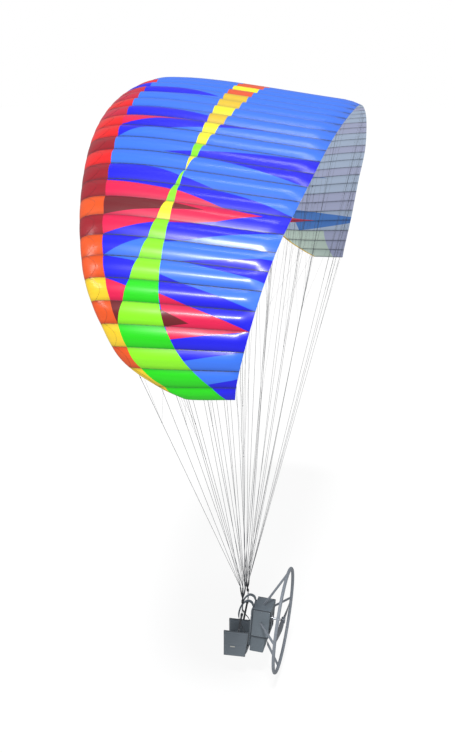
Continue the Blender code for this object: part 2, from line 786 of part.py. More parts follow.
def build():
    clear_scene()
    collection = new_collection(COLLECTION_NAME)
    cutters = new_collection("cutters")

    skin = make_material("canopy_skin", (0.07, 0.25, 1.0), 0.35)
    line_material = make_material("line", (0.12, 0.12, 0.13), 0.6)
    webbing = make_material("webbing", (0.10, 0.11, 0.12), 0.8)
    steel = make_material("steel", (0.45, 0.46, 0.48), 0.3, 1.0)
    tube = make_material("cage_tube", (0.30, 0.33, 0.37), 0.4)
    housing = make_material("housing", (0.15, 0.18, 0.21), 0.5)
    blade = make_material("blade", (0.06, 0.06, 0.07), 0.3)
    fabric = make_material("seat_fabric", (0.13, 0.16, 0.19), 0.8)

    make_canopy(skin, collection)
    for side, label in SIDES:
        make_lines(side, label, line_material, collection)
        make_riser(side, label, webbing, collection)
        make_carabiner(side, label, steel, collection)
        make_hang_web(side, label, webbing, collection)
        make_shoulder_strap(side, label, fabric, collection)

    motor = bpy.data.objects.new("motor_frame", None)
    collection.objects.link(motor)
    motor.location = HUB
    motor.rotation_euler = (0.0, -MOTOR_TILT, 0.0)
    make_block("motor_block", (BLOCK_REAR, -BLOCK_HALF_WIDTH, BLOCK_BOTTOM),
               (BLOCK_FRONT, BLOCK_HALF_WIDTH, BLOCK_TOP), BLOCK_BEVEL, housing, collection, motor)
    make_tank(housing, collection, motor)
    make_hoop(tube, collection, motor)
    make_struts(tube, collection, cutters, motor)
    make_shaft(steel, collection, motor)
    make_propeller(blade, collection, motor)
    make_block("harness_back",
               (BLOCK_FRONT + GAP, -BACK_PAD_HALF_WIDTH, BACK_PAD_BOTTOM),
               (BLOCK_FRONT + GAP + BACK_PAD, BACK_PAD_HALF_WIDTH, BACK_PAD_TOP),
               BACK_PAD_BEVEL, fabric, collection, motor)
    make_seat(fabric, collection)


build()
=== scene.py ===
# %% [markdown]
# # A powered paraglider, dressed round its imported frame
# A paraglider is a wing sewn from light nylon. Air rams in at its nose and keeps some forty
# cells inflated, and the seat and motor hang below on thin lines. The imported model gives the
# solids and how they move. This file puts cloth, colour and stitching on them, one cell at a time.

# %% Load the frame
import json
import math

import bmesh
import bpy
from mathutils import Matrix, Vector
from mathutils.bvhtree import BVHTree


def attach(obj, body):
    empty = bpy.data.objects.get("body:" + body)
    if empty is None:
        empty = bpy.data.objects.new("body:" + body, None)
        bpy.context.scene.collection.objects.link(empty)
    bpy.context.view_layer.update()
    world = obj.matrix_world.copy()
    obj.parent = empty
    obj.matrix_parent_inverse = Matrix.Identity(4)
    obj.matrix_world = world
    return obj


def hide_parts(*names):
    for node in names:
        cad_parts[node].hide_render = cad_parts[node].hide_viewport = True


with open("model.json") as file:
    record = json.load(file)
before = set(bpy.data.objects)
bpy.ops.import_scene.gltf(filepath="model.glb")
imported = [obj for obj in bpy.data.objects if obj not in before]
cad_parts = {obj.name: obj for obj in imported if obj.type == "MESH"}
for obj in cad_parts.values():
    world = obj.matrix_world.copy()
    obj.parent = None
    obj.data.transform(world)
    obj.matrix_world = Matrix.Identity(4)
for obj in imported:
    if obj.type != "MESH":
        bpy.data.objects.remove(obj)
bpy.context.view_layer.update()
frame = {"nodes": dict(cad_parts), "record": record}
nodes = frame["nodes"]

# %% [markdown]
# ## Camera
# The view is level with the top of the wing, about eleven metres to the pilot's left and a little
# behind. It was solved from both trailing edges and the round cage, so it is set by numbers and
# not by eye. The lens is given as a focal length in image heights.

# %% Camera
CAMERA_PLACE = Vector((-3.059, 13.712, 0.105))
CAMERA_YAW = math.radians(12.165)
CAMERA_PITCH = math.radians(14.856)
FOCAL_HEIGHTS = 1096.08 / 753.0
SENSOR = 36.0


def add_camera():
    data = bpy.data.cameras.new("Camera")
    data.sensor_width = SENSOR
    data.lens = FOCAL_HEIGHTS * SENSOR
    data.clip_end = 400.0
    camera = bpy.data.objects.new("Camera", data)
    bpy.context.scene.collection.objects.link(camera)
    look = Vector((math.sin(CAMERA_YAW) * math.cos(CAMERA_PITCH),
                   -math.cos(CAMERA_YAW) * math.cos(CAMERA_PITCH), -math.sin(CAMERA_PITCH)))
    camera.location = CAMERA_PLACE
    camera.rotation_euler = look.to_track_quat("-Z", "Y").to_euler()
    bpy.context.scene.camera = camera


add_camera()
print("lens", round(FOCAL_HEIGHTS * SENSOR, 2), "mm")

# %% [markdown]
# ## Shape of the wing
# A wing this curved is easiest to describe by its ribs. A short table gives where each rib's
# trailing edge sits and how long the rib is, and a smooth curve through the rows gives any place
# between them. One height law makes the upper skin of a rib and another the lower skin.

# %% Rib table and helpers
HALF_CELLS = 23
CENTRE_PITCH = math.radians(2.44)
TIP_PITCH_LOSS = math.radians(0.80)
TIP_THINNING = 0.12
NOSE_BULGE = 0.010          # how far a cell swells, as a share of its width
UPPER_BULGE = 0.130
LOWER_BULGE = 0.070
BULGE_GROWTH = 0.14         # chord share over which the swelling grows from the nose
BULGE_FADE = 18.0           # how fast it ends at the trailing edge
# rib number, distance from the centre plane, height and place of the trailing edge, chord
RIB_TABLE = (
    (0, 0.000, -0.117, -1.750, 2.771),
    (3, 0.878, -0.201, -1.728, 2.733),
    (7, 2.016, -0.454, -1.653, 2.558),
    (11, 3.007, -0.850, -1.550, 2.275),
    (15, 3.832, -1.376, -1.385, 1.873),
    (17, 4.129, -1.685, -1.310, 1.657),
    (19, 4.324, -2.022, -1.237, 1.376),
    (21, 4.402, -2.371, -1.161, 1.025),
    (22, 4.399, -2.526, -1.131, 0.747),
    (23, 4.368, -2.648, -1.115, 0.480),
)
HALF_WIDTH, HEIGHT, TRAIL, CHORD = 1, 2, 3, 4
UPPER_SHAPE = (0.303, -0.243, 0.057, -0.027)
LOWER_SHAPE = (0.214, -0.092, 0.318, -0.382)


def rib_value(rib, column):
    """One column of the rib table at any rib position, on a smooth curve."""
    distance, rows, last, k = abs(rib), RIB_TABLE, len(RIB_TABLE) - 1, 0
    while k < last - 1 and distance > rows[k + 1][0]:
        k += 1
    x0, x1, y0, y1 = rows[k][0], rows[k + 1][0], rows[k][column], rows[k + 1][column]
    width = x1 - x0
    slope = (y1 - y0) / width
    start, end = slope, slope
    if k == 0:
        start = slope if column == HALF_WIDTH else 0.0
    else:
        gap = x0 - rows[k - 1][0]
        start = ((y0 - rows[k - 1][column]) / gap * width + slope * gap) / (width + gap)
    if k + 1 < last:
        gap = rows[k + 2][0] - x1
        end = (slope * gap + (rows[k + 2][column] - y1) / gap * width) / (width + gap)
    t = (distance - x0) / width
    value = ((2 * t ** 3 - 3 * t ** 2 + 1) * y0 + (t ** 3 - 2 * t ** 2 + t) * width * start
             + (3 * t ** 2 - 2 * t ** 3) * y1 + (t ** 3 - t ** 2) * width * end)
    return -value if column == HALF_WIDTH and rib < 0 else value


def rib_span(rib, reach):
    """Sideways and upward steps along the span round a rib, and how many cells they cover."""
    low, high = max(rib - reach, -HALF_CELLS), min(rib + reach, HALF_CELLS)
    return (rib_value(high, HALF_WIDTH) - rib_value(low, HALF_WIDTH),
            rib_value(high, HEIGHT) - rib_value(low, HEIGHT), high - low)


rib_frames = {}


def rib_frame(rib):
    """Trailing edge, chord direction, rise direction, chord, cell width and fullness of a rib."""
    key = round(rib, 5)
    if key not in rib_frames:
        along_y, along_z, _ = rib_span(rib, 0.25)
        up = Vector((0.0, -along_z, along_y)).normalized()
        ahead = Vector((1.0, 0.0, 0.0))
        pitch = CENTRE_PITCH - TIP_PITCH_LOSS * (abs(rib) / HALF_CELLS) ** 3
        trail = Vector([rib_value(rib, column) for column in (TRAIL, HALF_WIDTH, HEIGHT)])
        wide_y, wide_z, cells = rib_span(rib, 0.5)
        rib_frames[key] = (
            trail, ahead * math.cos(pitch) + up * math.sin(pitch),
            up * math.cos(pitch) - ahead * math.sin(pitch), rib_value(rib, CHORD),
            math.hypot(wide_y, wide_z) / cells,
            1.0 - TIP_THINNING * (abs(rib) / HALF_CELLS) ** 4)
    return rib_frames[key]


def skin_height(fraction, shape):
    nose, first, second, third = shape
    curve = nose * math.sqrt(fraction) + fraction * (first + fraction * (second + fraction * third))
    return curve * (1.0 - fraction)


def skin_slope(fraction, shape):
    step = 0.0005
    low, high = max(fraction - step, 0.0), min(fraction + step, 1.0)
    return (skin_height(high, shape) - skin_height(low, shape)) / (high - low)


def wing_point(rib, fraction, upper=True, lift=0.0, bulge=True):
    """Place on the skin. A negative fraction is under the nose; lift is metres off the skin."""
    if fraction < 0.0:
        upper, fraction = not upper, -fraction
    shape, side = (UPPER_SHAPE, 1.0) if upper else (LOWER_SHAPE, -1.0)
    trail, chord_axis, rise_axis, chord, width, fill = rib_frame(rib)
    height = side * skin_height(fraction, shape) * fill
    slope = skin_slope(fraction, shape) * fill
    normal = Vector((-slope, side)).normalized()
    crown = abs(math.sin(math.pi * rib)) if bulge else 0.0
    grown = min(1.0, fraction / BULGE_GROWTH)
    full = UPPER_BULGE if upper else LOWER_BULGE
    share = NOSE_BULGE + (full - NOSE_BULGE) * grown * grown * (3.0 - 2.0 * grown)
    swell = crown * share * width * min(1.0, (1.0 - fraction) * BULGE_FADE) + lift
    return (trail + chord_axis * (chord * (1.0 - fraction) - normal.x * swell)
            + rise_axis * (chord * height + normal.y * swell))


print("span", round(2 * rib_value(21, HALF_WIDTH), 2), "m, centre chord", RIB_TABLE[0][CHORD])

# %% [markdown]
# ## Cloth material
# Canopy nylon is woven with a square grid of thicker threads and coated, so it is smooth and
# shiny. Every colour is the same cloth, so one function makes them all. The wing's UV map holds
# cells across and metres along, which lets the shader draw the stitched seam on each rib.

# %% Node helpers
def add_node(tree, kind, place, **settings):
    node = tree.nodes.new(kind)
    node.location = place
    for key, value in settings.items():
        if key.startswith("in_"):
            slot = key[3:]
            key = int(slot) if slot.isdigit() else slot.replace("_", " ")
            node.inputs[key].default_value = value
        else:
            setattr(node, key, value)
    return node


def math_node(tree, operation, first, second=None, place=(0, 0), clamp=False):
    node = add_node(tree, "ShaderNodeMath", place, operation=operation, use_clamp=clamp)
    for slot, value in zip(node.inputs, (first, second)):
        if value is None:
            continue
        if isinstance(value, (int, float)):
            slot.default_value = value
        else:
            tree.links.new(value, slot)
    return node.outputs[0]


def mix_colour(tree, factor, first, second, blend="MIX", place=(0, 0)):
    node = add_node(tree, "ShaderNodeMix", place, data_type="RGBA", blend_type=blend)
    for slot, value in zip((node.inputs[i] for i in (0, 6, 7)), (factor, first, second)):
        if hasattr(value, "is_linked"):
            tree.links.new(value, slot)
        elif isinstance(value, (int, float)):
            slot.default_value = value
        else:
            slot.default_value = (*value[:3], 1.0)
    return node.outputs[2]


def new_material(name, roughness, metallic=0.0):
    material = bpy.data.materials.new(name)
    material.use_nodes = True
    shader = material.node_tree.nodes["Principled BSDF"]
    shader.inputs["Roughness"].default_value = roughness
    shader.inputs["Metallic"].default_value = metallic
    return material, material.node_tree, shader


def srgb(red, green, blue):
    """Screen colour from 0 to 255, turned into the linear value that a shader wants."""
    return tuple(c / 12.92 if c <= 0.04045 else ((c + 0.055) / 1.055) ** 2.4
                 for c in (red / 255, green / 255, blue / 255))


# %% [markdown]
# The seam is drawn in two parts. A narrow dark band lies where two panels meet, and dashes of
# thread run along it. The thread grid of the cloth is only a bump, five millimetres apart, and a
# soft noise stretched along the chord gives the small folds that run into each seam. Both sides
# of each seam are also painted darker, as painted shade for the shade that falls in the valley.

# %% Canopy cloth
SEAM_WIDTH = 0.044          # of a cell
STITCH_LENGTH = 0.065       # metres
THREAD_GRID = 0.005
CELL_METRES = 0.27
PAINTED_SHADE_WIDTH = 0.24         # of a cell: how far the painted shade in the valley reaches from each seam
PAINTED_SHADE_DARK = 0.42


def canopy_cloth(name, colour, gloss=0.42, seam_dark=0.45, coat=0.36):
    material, tree, shader = new_material(name, gloss)
    link = tree.links.new
    uv = add_node(tree, "ShaderNodeUVMap", (-1600, 0), uv_map="Cells")
    split = add_node(tree, "ShaderNodeSeparateXYZ", (-1400, 0))
    link(uv.outputs[0], split.inputs[0])
    across, along = split.outputs[0], split.outputs[1]
    share = math_node(tree, "FRACT", across, place=(-1200, 100))
    off_middle = math_node(tree, "ABSOLUTE", math_node(tree, "SUBTRACT", share, 0.5))
    near_rib = math_node(tree, "SUBTRACT", 0.5, off_middle)
    seam = math_node(tree, "LESS_THAN", near_rib, SEAM_WIDTH / 2)
    stitch = math_node(tree, "FRACT", math_node(tree, "DIVIDE", along, STITCH_LENGTH))
    dash = math_node(tree, "GREATER_THAN", stitch, 0.35)
    thread = math_node(tree, "MULTIPLY", seam, dash)
    dark = math_node(tree, "ADD", math_node(tree, "MULTIPLY", seam, seam_dark),
                     math_node(tree, "MULTIPLY", thread, seam_dark), clamp=True)
    noise = add_node(tree, "ShaderNodeTexNoise", (-1000, -300), in_Scale=1.0, in_Detail=3.0)
    stretch = add_node(tree, "ShaderNodeMapping", (-1200, -300), in_Scale=(9.0, 1.6, 1.0))
    link(uv.outputs[0], stretch.inputs[0])
    link(stretch.outputs[0], noise.inputs["Vector"])
    shade = tuple(c * 0.86 for c in colour)
    cloudy = mix_colour(tree, noise.outputs["Fac"], colour, shade)
    # painted shade: the colour darkens towards each seam, standing in for the shade in the valley
    # between two cells
    shade_falloff = math_node(tree, "SUBTRACT", 1.0, math_node(tree, "DIVIDE", near_rib, PAINTED_SHADE_WIDTH),
                     clamp=True)
    valley_painted_shade = math_node(tree, "MULTIPLY", math_node(tree, "MULTIPLY", shade_falloff, shade_falloff), PAINTED_SHADE_DARK)
    cloudy = mix_colour(tree, valley_painted_shade, cloudy, tuple(c * 0.1 for c in colour))
    stitched = mix_colour(tree, dark, cloudy, (0.03, 0.04, 0.07))
    link(stitched, shader.inputs["Base Color"])
    grid_x = math_node(tree, "FRACT",
                       math_node(tree, "MULTIPLY", across, CELL_METRES / THREAD_GRID))
    grid_y = math_node(tree, "FRACT", math_node(tree, "DIVIDE", along, THREAD_GRID))
    thick = math_node(tree, "MAXIMUM", math_node(tree, "GREATER_THAN", grid_x, 0.85),
                      math_node(tree, "GREATER_THAN", grid_y, 0.85))
    weave = add_node(tree, "ShaderNodeBump", (-300, -300), in_Strength=0.15, in_Distance=0.0003)
    link(thick, weave.inputs["Height"])
    folds = add_node(tree, "ShaderNodeBump", (-100, -300), in_Strength=0.25, in_Distance=0.010)
    close = math_node(tree, "SUBTRACT", 1.0, math_node(tree, "MULTIPLY", near_rib, 2.0))
    link(math_node(tree, "MULTIPLY", noise.outputs["Fac"], close), folds.inputs["Height"])
    link(weave.outputs[0], folds.inputs["Normal"])
    link(folds.outputs[0], shader.inputs["Normal"])
    shader.inputs["Specular IOR Level"].default_value = 0.30
    shader.inputs["Coat Weight"].default_value = coat
    shader.inputs["Coat Roughness"].default_value = 0.20
    return material


CLOTH_COLOURS = {
    "light_blue": (54, 116, 236),
    "dark_blue": (22, 22, 226),
    "crimson": (222, 22, 78),
    "maroon": (110, 26, 34),
    "green": (34, 212, 16),
    "light_green": (136, 234, 30),
    "yellow": (244, 236, 48),
    "amber": (226, 190, 50),
    "red_orange": (226, 86, 46),
    "orange": (226, 84, 28),
    "gold": (238, 200, 40),
    "dark_red": (152, 20, 36),
    "bright_red": (226, 30, 34),
    "crimson_edge": (196, 32, 62),
}
SOFT_SEAM = 0.16            # seams show less on the bright colours than on the blues
upper_cloth = {
    name: canopy_cloth("cloth_" + name, srgb(*rgb),
                       seam_dark=0.70 if name.endswith("blue") else SOFT_SEAM)
    for name, rgb in CLOTH_COLOURS.items()}
print("cloth colours", len(upper_cloth))

# %% [markdown]
# ## Panel pattern
# The wing's colours are panels sewn together, so their edges are cut lines and not paint. They
# are written down on the flat pattern: the first number counts ribs in from the tip and the
# second is the share of the rib's length behind the nose. Both halves use the same list.

# %% Pattern tables
BAND_REAR = 0.133           # rear edge of the coloured band round the nose
TIP_CELLS = 23.0
# rib counted from the tip: front and rear edge of the slanting stripe
STRIPE = (
    (0, 0.000, 0.835), (1, 0.133, 0.702), (2, 0.133, 0.580), (3, 0.133, 0.495),
    (4, 0.133, 0.442), (5, 0.210, 0.430), (6, 0.270, 0.435), (7, 0.322, 0.442),
    (8, 0.362, 0.448), (9, 0.392, 0.455), (10, 0.420, 0.458), (11, 0.442, 0.462),
    (12, 0.467, 0.469), (13, 0.470, 0.498), (14, 0.473, 0.515), (15, 0.478, 0.532),
    (16, 0.478, 0.548), (17, 0.478, 0.558), (18, 0.475, 0.568), (19, 0.475, 0.575),
    (20, 0.470, 0.575), (21, 0.470, 0.578), (22, 0.465, 0.580), (23, 0.465, 0.588),
)
STRIPE_COLOURS = (
    "green", "green", "light_green", "green", "light_green", "green", "light_green",
    "light_green", "light_green", "yellow", "light_green", "light_green", "yellow",
    "light_green", "yellow", "yellow", "amber", "yellow", "amber", "amber", "red_orange",
    "yellow", "red_orange",
)
BAND_COLOURS = (
    "gold", "gold", "orange", "gold", "orange", "gold", "orange", "orange", "dark_red",
    "orange", "dark_red", "dark_red", "bright_red", "dark_red", "bright_red", "bright_red",
    "crimson_edge", "bright_red", "crimson_edge", "crimson_edge", "dark_blue", "bright_red",
    "light_blue",
)
# spikes and wedges, painted in this order over light blue
SHAPES = (
    ("dark_blue", ((0.0, 0.84), (1.0, 0.70), (1.21, 0.66), (1.57, 1.0), (0.0, 1.0))),
    ("dark_blue", ((2.46, 0.53), (3.0, 0.49), (4.0, 0.44), (5.42, 0.43), (6.30, 0.43),
                   (5.0, 1.0), (3.0, 1.0))),
    ("crimson", ((3.42, 0.46), (5.42, 0.43), (4.0, 1.0))),
    ("maroon", ((3.99, 0.44), (4.74, 0.43), (4.19, 0.604))),
    ("maroon", ((4.0, 0.133), (5.0, 0.133), (5.0, 0.22))),
    ("crimson", ((5.0, 0.133), (5.97, 0.133), (5.60, 0.26), (5.0, 0.22))),
    ("dark_blue", ((5.97, 0.133), (8.02, 0.133), (8.69, 0.376), (8.0, 0.37), (5.60, 0.26))),
    ("light_blue", ((7.0, 0.133), (8.07, 0.37), (6.76, 0.32))),
    ("dark_blue", ((7.03, 0.545), (7.57, 1.0), (6.39, 1.0))),
    ("dark_blue", ((7.81, 0.44), (8.60, 0.34), (8.02, 0.133), (11.96, 0.133), (12.0, 0.27),
                   (11.89, 0.325), (11.47, 0.44), (10.03, 1.0), (9.02, 1.0))),
    ("crimson", ((8.02, 0.133), (8.69, 0.375), (8.84, 0.458), (9.15, 0.674), (9.73, 0.875),
                 (10.03, 0.671), (10.50, 0.471), (10.83, 0.133))),
    ("maroon", ((9.01, 0.133), (9.24, 0.27), (9.40, 0.396), (9.63, 0.606), (9.98, 0.43),
                (10.0, 0.133))),
    ("dark_blue", ((13.07, 0.351), (13.0, 0.534), (12.73, 0.646), (12.08, 0.947), (12.0, 1.0),
                   (14.0, 1.0))),
    ("dark_blue", ((14.0, 0.133), (14.6, 0.229), (15.0, 0.329), (15.85, 0.802), (16.0, 0.50),
                   (16.0, 0.133))),
    ("crimson", ((15.05, 0.133), (15.54, 0.277), (15.75, 0.375), (15.93, 0.475), (16.0, 0.48),
                 (16.0, 0.133))),
    ("dark_blue", ((16.0, 0.133), (17.0, 0.133), (16.37, 0.48), (16.0, 0.48))),
    ("dark_blue", ((19.0, 0.133), (20.0, 0.133), (19.16, 0.46))),
)
# the same spikes as they show through the pale lower skin
LOWER_SHAPES = (
    ("lower_blue", ((5.35, 0.34), (4.31, 1.0), (3.71, 1.0), (3.0, 0.34))),
    ("lower_red", ((4.38, 0.26), (4.06, 0.58), (3.80, 0.26))),
    ("lower_blue", ((9.50, 0.55), (9.25, 0.55), (8.81, 0.756))),
)


def inside(point, outline):
    """Even-odd test of a point against a closed outline."""
    x, y = point
    hit = False
    for (x0, y0), (x1, y1) in zip(outline, outline[1:] + outline[:1]):
        if (y0 > y) != (y1 > y) and x < (x1 - x0) * (y - y0) / (y1 - y0) + x0:
            hit = not hit
    return hit


def stripe_quads():
    quads = []
    for colour, first, second in zip(STRIPE_COLOURS, STRIPE, STRIPE[1:]):
        quads.append((colour, ((first[0], first[1]), (second[0], second[1]),
                               (second[0], second[2]), (first[0], first[2]))))
    return quads


upper_shapes = SHAPES + tuple(stripe_quads())
print("pattern shapes", len(upper_shapes))

# %% [markdown]
# ## Cutting the flat cloth
# The skin starts as a flat grid: one unit across is one cell and one unit along is one chord.
# Each pattern edge is a straight cut through the faces between its two ends, which is what the
# bisect operator does. After the cuts no face carries two colours, so the seams stay crisp.

# %% Flat grid and cuts
CELL_FACETS = 6
UPPER_ROWS = 56
LOWER_ROWS = 34
NOSE_WRAP = 0.0144          # how far the upper cloth runs under the nose, of the chord
INTAKE_REAR = 0.058         # rear lip of the air intakes
OPEN_CELLS = 17             # cells on each side of the centre that have an intake


def flat_grid(rows, row_place):
    """Grid over all cells; row_place turns a row's share from 0 to 1 into its chord share."""
    bm = bmesh.new()
    bmesh.ops.create_grid(bm, x_segments=2 * HALF_CELLS * CELL_FACETS, y_segments=rows, size=1.0)
    for vert in bm.verts:
        vert.co.x = round(vert.co.x * HALF_CELLS * CELL_FACETS) / CELL_FACETS
        vert.co.y = row_place(round((vert.co.y + 1.0) / 2.0 * rows) / rows)
    return bm


def cut_between(bm, start, end):
    """Cut the flat cloth along the line from start to end, in the cells that it crosses."""
    low_x, high_x = sorted((start[0], end[0]))
    low_y, high_y = sorted((start[1], end[1]))
    if high_x - low_x < 1e-4 and abs(start[0] - round(start[0])) < 1e-4:
        return
    picked = []
    for face in bm.faces:
        xs = [vert.co.x for vert in face.verts]
        ys = [vert.co.y for vert in face.verts]
        if (max(xs) > low_x + 1e-5 and min(xs) < high_x - 1e-5
                and max(ys) > low_y - 1e-5 and min(ys) < high_y + 1e-5):
            picked.append(face)
    edges = {edge for face in picked for edge in face.edges}
    verts = {vert for face in picked for vert in face.verts}
    along = Vector((end[0] - start[0], end[1] - start[1], 0.0))
    bmesh.ops.bisect_plane(
        bm, geom=[*verts, *edges, *picked], dist=1e-5, plane_co=(start[0], start[1], 0.0),
        plane_no=(-along.y, along.x, 0.0))


def cut_shapes(bm, shapes):
    for _, outline in shapes:
        for first, second in zip(outline, outline[1:] + outline[:1]):
            for side in (1.0, -1.0):
                cut_between(bm, (side * (TIP_CELLS - first[0]), first[1]),
                            (side * (TIP_CELLS - second[0]), second[1]))


def pattern_colour(face, shapes, base):
    centre = face.calc_center_median()
    place = (TIP_CELLS - abs(centre.x), centre.y)
    colour = base
    for name, outline in shapes:
        if inside(place, outline):
            colour = name
    return colour, place


def raise_cloth(bm, upper):
    """Mark the rib seams, write the UV map and lift the flat cloth to its place on the wing."""
    layer = bm.loops.layers.uv.new("Cells")
    for face in bm.faces:
        face.smooth = True
        for loop in face.loops:
            flat = loop.vert.co
            chord = rib_frame(flat.x)[3]
            loop[layer].uv = (flat.x + HALF_CELLS, flat.y * chord + 0.5)
    for edge in bm.edges:
        first, second = edge.verts[0].co.x, edge.verts[1].co.x
        if abs(first - second) < 1e-4 and abs(first - round(first)) < 1e-4:
            edge.smooth = False
    for vert in bm.verts:
        vert.co = wing_point(vert.co.x, vert.co.y, upper)
    bmesh.ops.recalc_face_normals(bm, faces=bm.faces)


def link_mesh(name, bm, body, materials):
    mesh = bpy.data.meshes.new(name)
    bm.to_mesh(mesh)
    bm.free()
    for material in materials:
        mesh.materials.append(material)
    piece = bpy.data.objects.new(name, mesh)
    bpy.context.scene.collection.objects.link(piece)
    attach(piece, body)
    print(name, len(mesh.polygons), "faces")
    return piece


# %% [markdown]
# ## Upper skin
# This is one continuous sheet from the trailing edge over the top and just round the nose. Its
# rows are packed close at the nose, where the curve is tight, and wide apart near the tail.

# %% Upper skin
def upper_row(share):
    reach = math.sqrt(NOSE_WRAP)
    place = share * (1.0 + reach) - reach
    return place * abs(place)


def make_upper_skin():
    bm = flat_grid(UPPER_ROWS, upper_row)
    bmesh.ops.bisect_plane(bm, geom=bm.verts[:] + bm.edges[:] + bm.faces[:], dist=1e-6,
                           plane_co=(0.0, BAND_REAR, 0.0), plane_no=(0.0, 1.0, 0.0))
    cut_shapes(bm, upper_shapes)
    names = list(upper_cloth)
    for face in bm.faces:
        colour, (rib, along) = pattern_colour(face, upper_shapes, "light_blue")
        if along < BAND_REAR * min(1.0, rib):
            colour = BAND_COLOURS[min(int(rib), HALF_CELLS - 1)]
        face.material_index = names.index(colour)
    raise_cloth(bm, True)
    return link_mesh("canopy_upper_skin", bm, "wing", upper_cloth.values())


upper_skin = make_upper_skin()

# %% [markdown]
# ## Lower skin
# The lower skin is thin pale cloth. The spikes of the upper skin show through it as soft stains,
# and it is a little green near the tips. It starts behind the intakes, except at the tips, where
# the cells are closed and it runs on to meet the upper cloth.

# %% Lower skin
lower_cloth = {
    "lower_pale": canopy_cloth("cloth_lower_pale", srgb(174, 190, 214), 0.55, 0.62, 0.0),
    "lower_lilac": canopy_cloth("cloth_lower_lilac", srgb(172, 178, 208), 0.55, 0.62, 0.0),
    "lower_mint": canopy_cloth("cloth_lower_mint", srgb(198, 216, 204), 0.55, 0.62, 0.0),
    "lower_blue": canopy_cloth("cloth_lower_blue", srgb(76, 128, 204), 0.55, 0.62, 0.0),
    "lower_gold": canopy_cloth("cloth_lower_gold", srgb(226, 186, 40), 0.5, 0.2, 0.0),
    "lower_red": canopy_cloth("cloth_lower_red", srgb(206, 58, 90), 0.55, 0.62, 0.0),
}


MINT_CELLS = 3
LILAC_CELLS = (5, 6, 9, 12, 15, 16, 20)
TIP_EDGING = (3.0, 0.045)   # gold cloth folded under the nose of the outermost cells


def lower_row(share):
    start = math.sqrt(NOSE_WRAP)
    place = start + share * (1.0 - start)
    return place * place


def make_lower_skin():
    bm = flat_grid(LOWER_ROWS, lower_row)
    bmesh.ops.bisect_plane(bm, geom=bm.verts[:] + bm.edges[:] + bm.faces[:], dist=1e-6,
                           plane_co=(0.0, INTAKE_REAR, 0.0), plane_no=(0.0, 1.0, 0.0))
    mouths = [face for face in bm.faces if face.calc_center_median().y < INTAKE_REAR
              and abs(face.calc_center_median().x) < OPEN_CELLS]
    bmesh.ops.delete(bm, geom=mouths, context="FACES")
    cut_shapes(bm, LOWER_SHAPES)
    names = list(lower_cloth)
    for face in bm.faces:
        colour, (rib, along) = pattern_colour(face, LOWER_SHAPES, "lower_pale")
        if rib < TIP_EDGING[0] and along < TIP_EDGING[1]:
            colour = "lower_gold"
        elif colour == "lower_pale" and rib < MINT_CELLS:
            colour = "lower_mint" if along < 0.65 else "lower_lilac"
        elif colour == "lower_pale" and int(rib) in LILAC_CELLS:
            colour = "lower_lilac"
        face.material_index = names.index(colour)
    raise_cloth(bm, False)
    return link_mesh("canopy_lower_skin", bm, "wing", lower_cloth.values())


lower_skin = make_lower_skin()

# %% [markdown]
# ## Drawing straps and cords
# Straps, pads and cords are one section pushed along a path. A ring of points is drawn out edge
# by edge with extrude, and each new ring is set square to the path. The power squares the ring
# up: 1 gives an oval, a small number gives flat webbing with rounded edges.

# %% Sweep helpers
def set_ring(ring, centre, across, outward, power):
    count = len(ring)
    for i, vert in enumerate(ring):
        angle = 2.0 * math.pi * (i + 0.5) / count
        a, b = math.cos(angle), math.sin(angle)
        vert.co = (centre + across * math.copysign(abs(a) ** power, a)
                   + outward * math.copysign(abs(b) ** power, b))


def ring_edges(bm, ring):
    return [bm.edges.get((vert, ring[i - 1])) for i, vert in enumerate(ring)]


def sweep(bm, rings, sides=8, power=1.0, closed=False):
    """Push a ring through the places given; each is a centre, an across and an outward vector."""
    start = bmesh.ops.create_circle(bm, segments=sides, radius=1.0)["verts"]
    ring = list(start)
    set_ring(ring, *rings[0], power)
    for place in rings[1:]:
        drawn = bmesh.ops.extrude_edge_only(bm, edges=ring_edges(bm, ring))["geom"]
        fresh = {part for part in drawn if isinstance(part, bmesh.types.BMVert)}
        ring = [next(edge.other_vert(vert) for edge in vert.link_edges
                     if edge.other_vert(vert) in fresh) for vert in ring]
        set_ring(ring, *place, power)
    if closed:
        bmesh.ops.bridge_loops(bm, edges=ring_edges(bm, start) + ring_edges(bm, ring))
    else:
        for end in (start, ring):
            bmesh.ops.contextual_create(bm, geom=ring_edges(bm, end))


def smooth_course(places, steps):
    """Catmull-Rom curve through the places."""
    course = []
    for i in range(len(places) - 1):
        p0, p1 = places[max(i - 1, 0)], places[i]
        p2, p3 = places[i + 1], places[min(i + 2, len(places) - 1)]
        for step in range(steps):
            t = step / steps
            course.append(0.5 * (2 * p1 + (p2 - p0) * t + (2 * p0 - 5 * p1 + 4 * p2 - p3) * t ** 2
                                 + (3 * p1 - p0 - 3 * p2 + p3) * t ** 3))
    return course + [places[-1]]


def lay_strap(bm, course, flat, width, thickness, sides=8, power=0.4, full=None, closed=False):
    """Strap along a course, its width lying as near to the direction flat as it can."""
    last = len(course) - 1
    rings = []
    for i, place in enumerate(course):
        if closed:
            along = (course[(i + 1) % (last + 1)] - course[i - 1]).normalized()
        else:
            along = (course[min(i + 1, last)] - course[max(i - 1, 0)]).normalized()
        across = (flat - along * flat.dot(along)).normalized()
        share = full(i / last) if full else 1.0
        rings.append((place, across * (width / 2 * share),
                      along.cross(across) * (thickness / 2 * share)))
    sweep(bm, rings, sides, power, closed)


